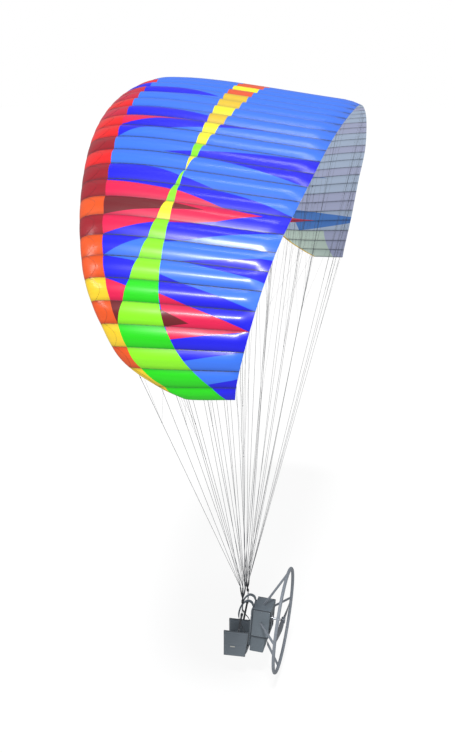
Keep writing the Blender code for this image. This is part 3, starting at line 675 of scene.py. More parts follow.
def finish_piece(name, bm, body, material, sharp=40.0):
    bmesh.ops.recalc_face_normals(bm, faces=bm.faces)
    mesh = bpy.data.meshes.new(name)
    bm.to_mesh(mesh)
    bm.free()
    mesh.shade_smooth()
    mesh.set_sharp_from_angle(angle=math.radians(sharp))
    for each in material if isinstance(material, (list, tuple)) else [material]:
        mesh.materials.append(each)
    piece = bpy.data.objects.new(name, mesh)
    bpy.context.scene.collection.objects.link(piece)
    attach(piece, body)
    print(name, len(mesh.polygons), "faces")
    return piece


X, Y, Z = Vector((1, 0, 0)), Vector((0, 1, 0)), Vector((0, 0, 1))
SIDES = ((1, "left"), (-1, "right"))


def mirrored(point, side):
    return Vector((point[0], point[1] * side, point[2]))


# %% [markdown]
# ## Woven finish
# Webbing, thread and heavy cloth share one finish. Two crossed waves make the weave.

# %% Woven finish
def woven(name, colour, pitch=0.0022, roughness=0.8):
    """Webbing or heavy cloth: two crossed waves make the weave."""
    material, tree, shader = new_material(name, roughness)
    link = tree.links.new
    place = add_node(tree, "ShaderNodeTexCoord", (-900, 0))
    height = None
    for i, direction in enumerate(("X", "Z")):
        wave = add_node(tree, "ShaderNodeTexWave", (-600, -200 * i), bands_direction=direction,
                        in_Scale=math.tau / pitch / 20.0, in_Distortion=0.4)
        link(place.outputs["Object"], wave.inputs["Vector"])
        height = wave.outputs["Fac"] if height is None else math_node(
            tree, "MULTIPLY", height, wave.outputs["Fac"])
    tone = mix_colour(tree, height, tuple(c * 0.7 for c in colour), tuple(c * 1.15 for c in colour))
    link(tone, shader.inputs["Base Color"])
    bump = add_node(tree, "ShaderNodeBump", (-300, -400), in_Strength=0.6, in_Distance=0.0006)
    link(height, bump.inputs["Height"])
    link(bump.outputs[0], shader.inputs["Normal"])
    shader.inputs["Sheen Weight"].default_value = 0.3
    return material


# %% [markdown]
# ## Nose stitching
# The nose of each cell is stiffened on the inside, and the thread that holds the stiffener shows
# on the coloured band as a thin dark curve. It is a real thread here, laid just above the cloth.

# %% Nose stitching
NOSE_THREAD = 0.0016
NOSE_THREAD_FRONT = 0.035
NOSE_THREAD_SAG = 0.055
NOSE_THREAD_STEPS = 10


def make_nose_stitching():
    bm = bmesh.new()
    for cell in range(-HALF_CELLS, HALF_CELLS):
        course = []
        for step in range(NOSE_THREAD_STEPS + 1):
            share = step / NOSE_THREAD_STEPS
            place = NOSE_THREAD_FRONT + NOSE_THREAD_SAG * math.sin(math.pi * share)
            course.append(wing_point(cell + share, place, lift=0.0006))
        lay_strap(bm, course, X, NOSE_THREAD, NOSE_THREAD, sides=4, power=1.0)
    return finish_piece("nose_stitching", bm, "wing", dark_thread)


dark_thread = woven("dark_thread", srgb(60, 40, 44), 0.0008, 0.8)
nose_stitching = make_nose_stitching()

# %% [markdown]
# ## Ribs
# A rib is a flat cloth wall between two cells. From the front it shows through the intakes. A
# filled circle has the right build, a ring of points with a face in it, so each rib is a circle
# whose points are moved to the rib's outline.

# %% Ribs
RIB_POINTS = 48
rib_cloth = canopy_cloth("cloth_rib_white", srgb(188, 194, 202), 0.6, 0.0, 0.0)


def make_ribs():
    bm = bmesh.new()
    for rib in range(-HALF_CELLS, HALF_CELLS + 1):
        made = bmesh.ops.create_circle(bm, cap_ends=True, segments=RIB_POINTS, radius=1.0)
        ring = made["verts"]
        for i, vert in enumerate(ring):
            turn = 2.0 * i / RIB_POINTS
            place = abs(1.0 - turn)
            vert.co = wing_point(rib, place * place, turn < 1.0, bulge=False)
    layer = bm.loops.layers.uv.new("Cells")
    for face in bm.faces:
        for loop in face.loops:
            loop[layer].uv = (loop.vert.co.x / CELL_METRES + 0.5, loop.vert.co.z)
    return link_mesh("canopy_ribs", bm, "wing", [rib_cloth])


ribs = make_ribs()
canopy_nodes = [name for name in nodes if name.startswith("canopy_")]
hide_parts(*canopy_nodes)

# %% [markdown]
# ## Cloth areas
# The flat sizes are round estimates from the wing's own shape, not measured ones. The printed
# areas are what the modelled cloth has, for the upper skin, the lower skin and the ribs.
# The ribs are one mesh, so their area is printed as one.

def cloth_area(piece):
    return sum(polygon.area for polygon in piece.data.polygons)


print("areas", [round(cloth_area(piece), 2) for piece in (upper_skin, lower_skin, ribs)])

# %% [markdown]
# ## Plain finishes for the hard parts
# These pieces already have their shape, so they only get a better finish: painted tubes, a
# satin motor case, woven webbing and brushed steel.

# %% Hard finishes
def worn_paint(name, colour, roughness, speckle=40.0, metallic=0.0, bump=0.0004):
    """Paint or moulded plastic with a faint mottle and an orange-peel bump."""
    material, tree, shader = new_material(name, roughness, metallic)
    link = tree.links.new
    place = add_node(tree, "ShaderNodeTexCoord", (-900, 0))
    mottle = add_node(tree, "ShaderNodeTexNoise", (-700, 0), in_Scale=speckle, in_Detail=4.0)
    link(place.outputs["Object"], mottle.inputs["Vector"])
    tone = mix_colour(tree, mottle.outputs["Fac"], tuple(c * 1.12 for c in colour),
                      tuple(c * 0.86 for c in colour))
    link(tone, shader.inputs["Base Color"])
    ramp = add_node(tree, "ShaderNodeMapRange", (-400, -200), in_3=roughness * 0.85,
                    in_4=min(1.0, roughness * 1.2))
    link(mottle.outputs["Fac"], ramp.inputs[0])
    link(ramp.outputs[0], shader.inputs["Roughness"])
    rough = add_node(tree, "ShaderNodeBump", (-300, -400), in_Strength=0.3, in_Distance=bump)
    link(mottle.outputs["Fac"], rough.inputs["Height"])
    link(rough.outputs[0], shader.inputs["Normal"])
    return material


finishes = {
    "line": woven("line_sheath", srgb(74, 78, 86), 0.0010, 0.85),
    "webbing": woven("webbing_weave", srgb(52, 56, 62), 0.0020, 0.85),
    "steel": worn_paint("brushed_steel", srgb(170, 173, 178), 0.3, 120.0, 1.0),
    "seat_cloth": woven("seat_weave", srgb(112, 122, 131), 0.0030, 0.85),
    "motor_housing": worn_paint("motor_paint", srgb(106, 116, 124), 0.45),
    "tank_plastic": worn_paint("tank_plastic", srgb(100, 110, 118), 0.5, 70.0),
    "cage_tube": worn_paint("cage_paint", srgb(122, 128, 136), 0.42, 60.0),
    "propeller_blade": worn_paint("blade_finish", srgb(96, 102, 110), 0.3, 90.0),
}
slots = {row["node"]: row["material_slot"] for row in frame["record"]["subparts"]}
for name, node in nodes.items():
    if slots[name] in finishes:
        node.data.materials.clear()
        node.data.materials.append(finishes[slots[name]])
print("finished nodes", sum(slots[name] in finishes for name in nodes))

# %% [markdown]
# ## Cascades
# A wing has far more loops than the pilot has main lines, so each main line forks, and forks
# again, close under the cloth. The forks are straight because air keeps them tight. A small knot
# sits at each fork, and a tape loop is sewn to the rib where each line ends.

# %% Forked lines
RISER_TOP = Vector((-0.348, 0.130, -6.575))
FINGER_SPREAD = 0.034
LINK_LENGTH = 0.036
LINK_HEIGHT = 0.010
LINE_THICKNESS = 0.003
# row: chord share, riser finger, shift on it, ribs of the main lines
LINE_ROWS = (
    ("a", 0.09, 0, 0.000, (2, 8, 14, 19)),
    ("b", 0.34, 1, 0.000, (2, 8, 14, 19, 22)),
    ("c", 0.62, 2, 0.004, (2, 8, 14, 19)),
    ("brake", 0.985, 2, -0.004, (5, 10, 15, 20)),
)
# share of the main line where a pair of branches leaves it, and how many ribs it spreads
FORKS = ((0.72, 3), (0.86, 1))
BRAKE_FORKS = ((0.66, 2), (0.84, 1))
KNOT_SIZE = 0.006
BRANCH_CLEARANCE = 0.010


def line_start(finger, shift, side, i, count):
    """Root of a main line on its quick link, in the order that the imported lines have."""
    slots = 2 * count + 1
    offset = -LINK_LENGTH / 2 + (2 * i + 1.5) * LINK_LENGTH / slots
    return (mirrored(RISER_TOP, side)
            + Vector(((1 - finger) * FINGER_SPREAD + shift, side * offset, LINK_HEIGHT)))


def thin_line(bm, start, end, thickness):
    lay_strap(bm, [start, end], X, thickness, thickness, sides=4, power=1.0)


def make_cascades(side, label):
    bm = bmesh.new()
    for row, fraction, finger, shift, ribs in LINE_ROWS:
        for i, rib in enumerate(ribs):
            start = line_start(finger, shift, side, i, len(ribs))
            end = wing_point(rib * side, fraction, False)
            for share, spread in (BRAKE_FORKS if row == "brake" else FORKS):
                fork = start.lerp(end, share)
                bmesh.ops.create_icosphere(bm, subdivisions=1, radius=KNOT_SIZE,
                                           matrix=Matrix.Translation(fork))
                for target in (rib - spread, rib + spread):
                    if 0 <= target < HALF_CELLS:
                        tip = wing_point(target * side, fraction, False)
                        reach = (tip - fork).length
                        thin_line(bm, fork, fork.lerp(tip, 1.0 - BRANCH_CLEARANCE / reach),
                                  LINE_THICKNESS * 0.6)
    return finish_piece("line_cascades_" + label, bm, "wing", finishes["line"])


for side, label in SIDES:
    make_cascades(side, label)

# %% [markdown]
# ## Line tabs
# At each rib a tape is sewn in, which carries the line. It is a strap swept over three points
# that narrows toward its end. They are all one mesh, because there are well over a hundred.

# %% Line tabs
TAB_HEIGHT = 0.030
TAB_WIDTH = 0.018


def make_tabs():
    """A small tape at every inner rib in the first three line rows, hanging from the lower skin."""
    bm = bmesh.new()
    for _, fraction, _, _, _ in LINE_ROWS[:3]:
        for rib in range(1 - HALF_CELLS, HALF_CELLS):
            top = wing_point(rib, fraction, False, lift=-0.002)
            low = wing_point(rib, fraction, False, lift=TAB_HEIGHT)
            lay_strap(bm, [top, top.lerp(low, 0.6), low], X, TAB_WIDTH, 0.004, sides=4, power=0.6,
                      full=lambda share: 1.0 - 0.7 * share)
    return finish_piece("line_tabs", bm, "wing", finishes["webbing"])


tabs = make_tabs()

# %% [markdown]
# ## Risers and carabiners
# A riser is webbing sewn in layers. Three straps come down from the line rows, meet, and end in
# one loop round the carabiner. The join is thick with stitching and wears a cloth sleeve. The
# straps are swept directly, because a strap this thin would vanish in a remesh.

# %% Risers
HANG_POINT = Vector((-0.358, 0.200, -6.895))
CARABINER_HEIGHT = 0.085
CARABINER_TUBE = 0.005
BAR_CLEARANCE = 0.0085
RISER_WIDTH = 0.020
RISER_THICKNESS = 0.0032
LOOP_WIDTH = 0.016
LOOP_LEG = 0.055
THREAD = 0.0011
thread_finish = woven("sewing_thread", srgb(168, 174, 182), 0.0008, 0.7)


def loop_course(bar, lift, lean):
    """Half circle round a bar with two legs that close up; lift is +1 up and -1 down."""
    course = [bar + lean * lift + Vector((0.003, 0.0, 0.0))]
    for step in range(9):
        angle = math.pi * step / 8
        course.append(bar + Vector((BAR_CLEARANCE * math.cos(angle), 0.0,
                                    -lift * BAR_CLEARANCE * math.sin(angle))))
    return course + [bar + lean * lift + Vector((-0.003, 0.0, 0.0))]


def stitch_box(bm, centre, across, along, out, width, height):
    """A box of thread with a cross in it, lying just proud of the webbing."""
    a, b = across * width / 2, along * height / 2
    corners = [centre + a + b, centre - a + b, centre - a - b, centre + a - b]
    rows = list(zip(corners, corners[1:] + corners[:1])) + [(corners[0], corners[2]),
                                                            (corners[1], corners[3])]
    for first, second in rows:
        lay_strap(bm, [first + out, second + out], across + along * 0.3, THREAD, THREAD, sides=4,
                  power=1.0)


def make_riser(side, label):
    bm = bmesh.new()
    thread = bmesh.new()
    bar = mirrored(HANG_POINT, side) + Z * (CARABINER_HEIGHT - 2 * CARABINER_TUBE)
    top = mirrored(RISER_TOP, side)
    lean = (top - bar).normalized()
    join = bar + lean * LOOP_LEG
    lay_strap(bm, loop_course(bar, 1, lean * LOOP_LEG), Y, LOOP_WIDTH, 0.0028)
    for finger in range(3):
        tip = top + X * ((1 - finger) * FINGER_SPREAD)
        layer = Y * (side * (finger - 1) * 0.0012)
        course = smooth_course([join - lean * 0.016 + layer, join + lean * 0.05 + layer,
                                join.lerp(tip, 0.55) + layer, tip], 5)
        lay_strap(bm, course, X, RISER_WIDTH, RISER_THICKNESS)
        out = Y * side * (RISER_THICKNESS / 2 + 0.0004)
        along = (tip - join).normalized()
        stitch_box(thread, tip - along * 0.022, X, along, out, RISER_WIDTH * 0.7, 0.024)
    sleeve = [join + lean * step for step in (-0.020, -0.014, 0.006, 0.026, 0.032)]
    lay_strap(bm, sleeve, X, 0.036, 0.013, sides=12, power=0.7,
              full=lambda share: 0.72 + 0.28 * math.sin(math.pi * share) ** 0.5)
    riser = finish_piece("riser_webbing_" + label, bm, "wing", finishes["webbing"])
    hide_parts("riser_" + label)
    finish_piece("riser_thread_" + label, thread, "wing", thread_finish)


for side, label in SIDES:
    make_riser(side, label)

# %% [markdown]
# Each riser strap carries a quick link, a small steel ring with a screw sleeve. The carabiner
# has a screw sleeve of its own on the gate side. Both are turned parts, so they are rings and
# barrels with rounded edges.

# %% Quick links and carabiner sleeves
LINK_TUBE = 0.0022
LINK_HALF_HEIGHT = 0.012
BARREL_RADIUS = 0.0085
BARREL_LENGTH = 0.026


def barrel(bm, centre, axis, radius, length, bevel):
    """A turned sleeve: a cylinder with rounded ends."""
    turn = axis.to_track_quat("Z", "Y").to_matrix().to_4x4()
    made = bmesh.ops.create_cone(bm, cap_ends=True, segments=20, radius1=radius, radius2=radius,
                                 depth=length, matrix=Matrix.Translation(centre) @ turn)
    rims = [edge for edge in {e for v in made["verts"] for e in v.link_edges}
            if len(edge.link_faces) == 2 and any(len(f.verts) > 4 for f in edge.link_faces)]
    bmesh.ops.bevel(bm, geom=rims, offset=bevel, affect="EDGES", segments=2, profile=0.5,
                    material=-1)


def make_links(side, label):
    bm = bmesh.new()
    for finger in range(3):
        centre = (mirrored(RISER_TOP, side) + X * ((1 - finger) * FINGER_SPREAD) + Z * 0.005)
        course = [centre + Y * (0.0215 * math.cos(a)) + Z * (LINK_HALF_HEIGHT * math.sin(a))
                  for a in [math.tau * i / 20 for i in range(20)]]
        lay_strap(bm, course, X, LINK_TUBE * 2, LINK_TUBE * 2, sides=8, power=1.0, closed=True)
        barrel(bm, centre + Y * 0.0215 * side, Z, 0.0036, 0.010, 0.0008)
    middle = mirrored(HANG_POINT, side) + Z * (CARABINER_HEIGHT / 2 - CARABINER_TUBE)
    barrel(bm, middle + Y * side * 0.020, Z, BARREL_RADIUS, BARREL_LENGTH, 0.0015)
    finish_piece("quick_links_" + label, bm, "wing", finishes["steel"], 50.0)


for side, label in SIDES:
    make_links(side, label)

# %% [markdown]
# ## Hang webs
# The seat hangs from each carabiner on one wide web, sewn to the top of the side panel.

# %% Hang webs
SEAT_TOP = -7.222
SEAT_HALF_WIDTH = 0.200
SEAT_SIDE = 0.032
HANG_WEB_WIDTH = 0.028
HANG_WEB_SHIFT = 0.060


WEB_SEWN_IN = 0.010         # how far the webbing runs down inside the panel's top edge


def make_hang_web(side, label):
    bm = bmesh.new()
    thread = bmesh.new()
    bar = mirrored(HANG_POINT, side)
    foot = Vector((bar.x + HANG_WEB_SHIFT, side * (SEAT_HALF_WIDTH - SEAT_SIDE / 2),
                   SEAT_TOP - WEB_SEWN_IN))
    down = (bar - foot).normalized()
    lay_strap(bm, loop_course(bar, -1, down * LOOP_LEG), Y, LOOP_WIDTH, 0.0028)
    start = bar - down * (LOOP_LEG - 0.014)
    course = [start.lerp(foot, step / 8) for step in range(9)]
    lay_strap(bm, course, X, HANG_WEB_WIDTH, 0.0042)
    sleeve = [bar - down * (LOOP_LEG + step) for step in (-0.018, -0.012, 0.006, 0.024, 0.030)]
    lay_strap(bm, sleeve, X, 0.038, 0.013, sides=12, power=0.7,
              full=lambda share: 0.72 + 0.28 * math.sin(math.pi * share) ** 0.5)
    out = Y * side * 0.0026
    stitch_box(thread, foot + down * 0.030, X, down, out, HANG_WEB_WIDTH * 0.75, 0.030)
    stitch_box(thread, start - down * 0.050, X, down, out, HANG_WEB_WIDTH * 0.75, 0.024)
    web = finish_piece("hang_webbing_" + label, bm, "motor_unit", finishes["webbing"])
    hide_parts("hang_web_" + label)
    finish_piece("hang_thread_" + label, thread, "motor_unit", thread_finish)


for side, label in SIDES:
    make_hang_web(side, label)

# %% [markdown]
# ## Shoulder straps
# The upper half of a shoulder strap is a foam pad in a cloth tube, the lower half is plain
# webbing with a ladder buckle. The pad is a flattened oval swept over the shoulder, thin at both
# ends where it is sewn down.

# %% Shoulder straps
HUB = Vector((-0.896, 0.0, -7.076))
MOTOR_TILT = math.radians(4.8)
MOTOR_PLACE = Matrix.Translation(HUB) @ Matrix.Rotation(-MOTOR_TILT, 4, "Y")
STRAP_STEPS = 5
STRAP_PATH = (
    (-0.4685, 0.092, -6.8050), (-0.4000, 0.098, -6.7850), (-0.3250, 0.108, -6.8600),
    (-0.2900, 0.125, -6.9900), (-0.3150, 0.148, -7.1000), (-0.3600, 0.178, -7.1750),
    (-0.3885, 0.184, -7.2320),
)
STRAP_START = (0.4223, 0.090, 0.1705)
PAD_SHARE = 0.62
PAD_WIDTH = 0.060
PAD_THICKNESS = 0.024
PIPING = 0.0022


def make_shoulder_strap(side, label):
    start = MOTOR_PLACE @ Vector(STRAP_START)
    places = [mirrored(place, side) for place in [start, *STRAP_PATH]]
    course = smooth_course(places, STRAP_STEPS)
    cut = round(PAD_SHARE * (len(course) - 1))
    pad = bmesh.new()
    lay_strap(pad, course[:cut + 1], Y, PAD_WIDTH, PAD_THICKNESS, sides=16, power=0.8,
              full=lambda share: 0.45 + 0.55 * min(1.0, 7.0 * share, 7.0 * (1.0 - share)))
    piece = finish_piece("shoulder_pad_" + label, pad, "motor_unit",
                         finishes["seat_cloth"], 70.0)
    smooth = piece.modifiers.new("Subdivision", "SUBSURF")
    smooth.levels = smooth.render_levels = 1
    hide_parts("shoulder_strap_" + label)
    web = bmesh.new()
    lay_strap(web, course[cut - 1:], Y, 0.025, 0.0026)
    for offset in (-1, 1):
        edge = [place + Y * (offset * PAD_WIDTH * 0.47) for place in course[2:cut - 1]]
        lay_strap(web, edge, Y, PIPING * 2, PIPING * 2, sides=6, power=1.0)
    finish_piece("shoulder_webbing_" + label, web, "motor_unit", finishes["webbing"])
    buckle = bmesh.new()
    middle, after = course[cut + 2], course[cut + 3]
    along = (after - middle).normalized()
    across = (Y - along * along.y).normalized()
    out = along.cross(across)
    for step in (-0.014, 0.0, 0.014):
        bar = middle + along * step
        lay_strap(buckle, [bar - across * 0.017, bar + across * 0.017], out, 0.004, 0.004)
    for offset in (-0.0165, 0.0165):
        rail = middle + across * offset
        lay_strap(buckle, [rail - along * 0.017, rail + along * 0.017], out, 0.0055, 0.004)
    finish_piece("shoulder_buckle_" + label, buckle, "motor_unit", finishes["steel"])


for side, label in SIDES:
    make_shoulder_strap(side, label)

# %% [markdown]
# ## Padded panels by cloth simulation
# The seat is foam in cloth. A sewn cover over foam pulls in at its seams and swells between
# them, which a cloth simulation with a little pressure inside finds by itself. The panel starts
# as a plain closed shape a little smaller than the finished one, is remeshed to small even
# faces, blown up, and then the sewn channels are pressed in. A thin panel shrinks on the way, so
# it can be stretched back to its cut size.

# %% Padding helpers
VOXEL = 0.006
PRESSURE = 4.0
SIM_FRAMES = 20


def panel_block(outline, low, high, inset=0.004):
    """Closed block from an outline in the X-Z plane, thick along Y."""
    bm = bmesh.new()
    made = bmesh.ops.create_circle(bm, cap_ends=True, segments=len(outline), radius=1.0)
    centre = Vector((sum(p[0] for p in outline), sum(p[1] for p in outline))) / len(outline)
    for vert, point in zip(made["verts"], outline):
        point = Vector(point)
        point = point + (centre - point).normalized() * inset
        vert.co = (point.x, low + inset, point.y)
    drawn = bmesh.ops.extrude_face_region(bm, geom=bm.faces[:])["geom"]
    moved = [part for part in drawn if isinstance(part, bmesh.types.BMVert)]
    bmesh.ops.translate(bm, vec=(0.0, high - low - 2 * inset, 0.0), verts=moved)
    bmesh.ops.recalc_face_normals(bm, faces=bm.faces)
    return bm


def blow_up(name, bm, cap):
    """Remesh a closed block, blow it up as cloth and keep each point within cap of its start."""
    mesh = bpy.data.meshes.new(name)
    bm.to_mesh(mesh)
    bm.free()
    piece = bpy.data.objects.new(name, mesh)
    bpy.context.scene.collection.objects.link(piece)
    remesh = piece.modifiers.new("Remesh", "REMESH")
    remesh.mode = "VOXEL"
    remesh.voxel_size = VOXEL
    graph = bpy.context.evaluated_depsgraph_get()
    mesh = bpy.data.meshes.new_from_object(piece.evaluated_get(graph))
    piece.modifiers.clear()
    piece.data = mesh
    mesh.name = name
    cloth = piece.modifiers.new("Cloth", "CLOTH")
    cloth.settings.use_pressure = True
    cloth.settings.uniform_pressure_force = PRESSURE
    cloth.settings.effector_weights.gravity = 0.0
    cloth.settings.quality = 4
    cloth.point_cache.frame_start = 1
    cloth.point_cache.frame_end = SIM_FRAMES
    scene = bpy.context.scene
    for frame_number in range(1, SIM_FRAMES + 1):
        scene.frame_set(frame_number)
    graph = bpy.context.evaluated_depsgraph_get()
    blown = [vert.co.copy() for vert in piece.evaluated_get(graph).data.vertices]
    scene.frame_set(1)
    piece.modifiers.clear()
    for vert, target in zip(mesh.vertices, blown):
        move = target - vert.co
        if move.length > cap:
            move *= cap / move.length
        vert.co += move
    return piece


def fit_outline(piece, low, high):
    """Stretch a blown panel back to the size it is cut to; its cover shrinks as it swells."""
    for axis in range(3):
        found = [vert.co[axis] for vert in piece.data.vertices]
        start, reach = min(found), max(found) - min(found)
        for vert in piece.data.vertices:
            share = (vert.co[axis] - start) / reach
            vert.co[axis] = low[axis] + share * (high[axis] - low[axis])


def press_channels(piece, lines, depth, width, axis):
    """Press sewn lines into the big faces; each is two points in the plane square to axis."""
    plane = [i for i in range(3) if i != axis]
    for vert in piece.data.vertices:
        point = Vector((vert.co[plane[0]], vert.co[plane[1]]))
        near = width
        for first, second in lines:
            first, second = Vector(first), Vector(second)
            along = second - first
            share = max(0.0, min(1.0, (point - first).dot(along) / along.length_squared))
            near = min(near, (point - first - along * share).length)
        if near < width:
            push = depth * (0.5 + 0.5 * math.cos(math.pi * near / width))
            normal = vert.normal[axis]
            if abs(normal) > 0.5:
                vert.co[axis] -= math.copysign(push, normal)


def finish_pad(piece, place, nodes_replaced, material):
    mesh = piece.data
    if place:
        mesh.transform(place)
    mesh.shade_smooth()
    mesh.materials.clear()
    mesh.materials.append(material)
    smooth = piece.modifiers.new("Subdivision", "SUBSURF")
    smooth.levels = smooth.render_levels = 1
    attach(piece, "motor_unit")
    if nodes_replaced:
        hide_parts(*nodes_replaced)
    print(piece.name, len(mesh.vertices), "points")


# %% [markdown]
# ## Seat
# The hip panels are flat five-sided pads, with a welt along the edge and two sewn lines across.
# Between them lie a seat cushion and, under it, the bag that holds the reserve parachute.

# %% Seat outline
SEAT_FRONT = -0.088
SEAT_BOARD_TOP = -7.420
SEAT_BOTTOM = -7.600
SEAT_KNEE = -7.370
SEAT_HEEL = -0.392
BLOCK_FRONT = 0.408
BACK_PAD = 0.028
GAP = 0.0003


def back_face(height, stand_off=0.0):
    """X of the back pad's front face at a height."""
    face = BLOCK_FRONT + GAP + BACK_PAD + stand_off
    along = (height - HUB.z - face * math.sin(MOTOR_TILT)) / math.cos(MOTOR_TILT)
    return HUB.x + face * math.cos(MOTOR_TILT) - along * math.sin(MOTOR_TILT)


side_outline = (
    (SEAT_FRONT, SEAT_BOTTOM), (SEAT_FRONT, SEAT_TOP), (back_face(SEAT_TOP), SEAT_TOP),
    (back_face(SEAT_KNEE), SEAT_KNEE), (SEAT_HEEL, SEAT_BOTTOM))
print("side outline", [(round(x, 3), round(z, 3)) for x, z in side_outline])

# %% [markdown]
# ## Hip panels
# The two side walls of the seat are thin pads. The cord along each edge, the welt, is laid on
# the blown cover itself by looking up the nearest point of it, so it touches all the way round.

# %% Hip panels
SIDE_CAP = 0.0045          # how far the simulation may move a point of the cover
TRIM = 0.0015              # how far the cover stays inside the cut size
TOP_SEAM_DROP = 0.030
SEAM_DEPTH = 0.004
SEAM_REACH = 0.010
WELT = 0.0050
WELT_SHARES = (0.0, 0.03, 0.1, 0.3, 0.5, 0.7, 0.9, 0.97)   # where each edge is followed
TAB_PLACE = (-0.2176, -7.454)     # a pale pull tape on the outside of the panel
TAB_REACH = 0.032
TAB_BREADTH = 0.014
pale_tape = woven("pale_tape", srgb(205, 205, 198), 0.0018, 0.8)


def make_hip_panel(side, label):
    low = SEAT_HALF_WIDTH - SEAT_SIDE
    edges = sorted((side * low, side * SEAT_HALF_WIDTH))
    piece = blow_up("hip_panel_" + label, panel_block(side_outline, *edges), SIDE_CAP)
    fit_outline(piece, (min(p[0] for p in side_outline) + TRIM, edges[0] + TRIM,
                        min(p[1] for p in side_outline) + TRIM),
                (max(p[0] for p in side_outline) - TRIM, edges[1] - TRIM,
                 max(p[1] for p in side_outline) - TRIM))
    rows = [((SEAT_FRONT, SEAT_BOARD_TOP), (-0.43, SEAT_BOARD_TOP)),
            ((SEAT_FRONT, SEAT_TOP - TOP_SEAM_DROP), (-0.46, SEAT_TOP - TOP_SEAM_DROP))]
    press_channels(piece, rows, SEAM_DEPTH, SEAM_REACH, 1)
    finish_pad(piece, None, ["seat_side_" + label], finishes["seat_cloth"])
    welt = bmesh.new()
    cover = bmesh.new()
    cover.from_mesh(piece.data)
    surface = BVHTree.FromBMesh(cover)
    cover.free()
    for depth in (side * low, side * SEAT_HALF_WIDTH):
        course = []
        for i, (x, z) in enumerate(side_outline):
            corner = Vector((x, depth, z))
            after = side_outline[(i + 1) % len(side_outline)]
            for share in WELT_SHARES:
                course.append(surface.find_nearest(
                    corner.lerp(Vector((after[0], depth, after[1])), share))[0])
        lay_strap(welt, course, Y, WELT, WELT, sides=6, power=1.0, closed=True)
    finish_piece("hip_welt_" + label, welt, "motor_unit", finishes["webbing"], 60.0)
    tab = bmesh.new()
    out = side * (SEAT_HALF_WIDTH + 0.001)
    lay_strap(tab, [Vector((x, out, TAB_PLACE[1])) for x in
                    (TAB_PLACE[0] - TAB_REACH, TAB_PLACE[0], TAB_PLACE[0] + TAB_REACH)], Z,
              TAB_BREADTH, 0.004)
    finish_piece("hip_tab_" + label, tab, "motor_unit", pale_tape)


for side, label in SIDES:
    make_hip_panel(side, label)

# %% [markdown]
# ## Seat cushion and bag
# Both are blocks blown up between the hip panels. Three channels are pressed across the cushion,
# where a real one bends under the thighs; the bag has a single pressed seam.

# %% Seat cushion and bag
CUSHION_DEPTH = 0.046
INNER_HALF = SEAT_HALF_WIDTH - SEAT_SIDE - 0.001


def make_cushion():
    low, high = SEAT_BOARD_TOP - CUSHION_DEPTH, SEAT_BOARD_TOP
    outline = ((SEAT_FRONT, low), (SEAT_FRONT, high), (back_face(high), high),
               (back_face(high) + 0.012, low))
    piece = blow_up("seat_cushion", panel_block(outline, -INNER_HALF, INNER_HALF), 0.008)
    rows = [((x, -INNER_HALF), (x, INNER_HALF)) for x in (-0.175, -0.265, -0.355)]
    press_channels(piece, rows, 0.007, 0.016, 2)
    finish_pad(piece, None, ["seat_base"], finishes["seat_cloth"])


def make_bag():
    low, high = SEAT_BOTTOM, SEAT_BOARD_TOP - CUSHION_DEPTH - 0.002
    outline = ((SEAT_FRONT - 0.004, low), (SEAT_FRONT - 0.004, high), (-0.432, high),
               (SEAT_HEEL - 0.002, low))
    piece = blow_up("under_seat_bag", panel_block(outline, -INNER_HALF, INNER_HALF), 0.007)
    rows = [((-INNER_HALF, -7.53), (INNER_HALF, -7.53))]
    press_channels(piece, rows, SEAM_DEPTH, SEAM_REACH, 0)
    finish_pad(piece, None, [], finishes["seat_cloth"])


make_cushion()
make_bag()

# %% [markdown]
# ## Back pad
# The back pad leans with the motor, so it is made upright in the motor's own frame and its mesh
# is turned at the end. Four channels are pressed in across it, which let a real pad bend with a
# back.

# %% Back pad
BACK_TOP, BACK_BOTTOM = 0.170, -0.400
BACK_HALF = 0.170


def make_back_pad():
    front = BLOCK_FRONT + GAP + BACK_PAD
    outline = ((BLOCK_FRONT + GAP, BACK_BOTTOM), (front, BACK_BOTTOM), (front, BACK_TOP),
               (BLOCK_FRONT + GAP, BACK_TOP))
    piece = blow_up("back_pad", panel_block(outline, -BACK_HALF, BACK_HALF), 0.006)
    span = BACK_TOP - BACK_BOTTOM
    rows = [((-BACK_HALF, BACK_BOTTOM + span * k / 5), (BACK_HALF, BACK_BOTTOM + span * k / 5))
            for k in (1, 2, 3, 4)]
    press_channels(piece, rows, 0.007, 0.018, 0)
    finish_pad(piece, MOTOR_PLACE, ["harness_back"], finishes["seat_cloth"])


make_back_pad()

# %% [markdown]
# ## Motor details
# The motor case is a painted box. What makes it read as one is small: a rubber guard along its
# edges, cooling slots, cover screws and the bearing plate that the shaft comes out of. The tank
# under it has a ribbed cap. All of it is made in the motor's frame and turned into place.

# %% Motor details
BLOCK_REAR = 0.160
BLOCK_TOP, BLOCK_BOTTOM = 0.190, -0.216
BLOCK_HALF = 0.200
GUARD = 0.0090
TANK_REAR = 0.190
rubber = worn_paint("rubber_trim", srgb(44, 48, 54), 0.7, 150.0)


def boxed(bm, centre, size, bevel):
    made = bmesh.ops.create_cube(bm, size=1.0, matrix=Matrix.Translation(centre)
                                 @ Matrix.Diagonal((*size, 1.0)))
    edges = list({edge for vert in made["verts"] for edge in vert.link_edges})
    bmesh.ops.bevel(bm, geom=edges, offset=bevel, affect="EDGES", segments=2, profile=0.5,
                    material=-1)


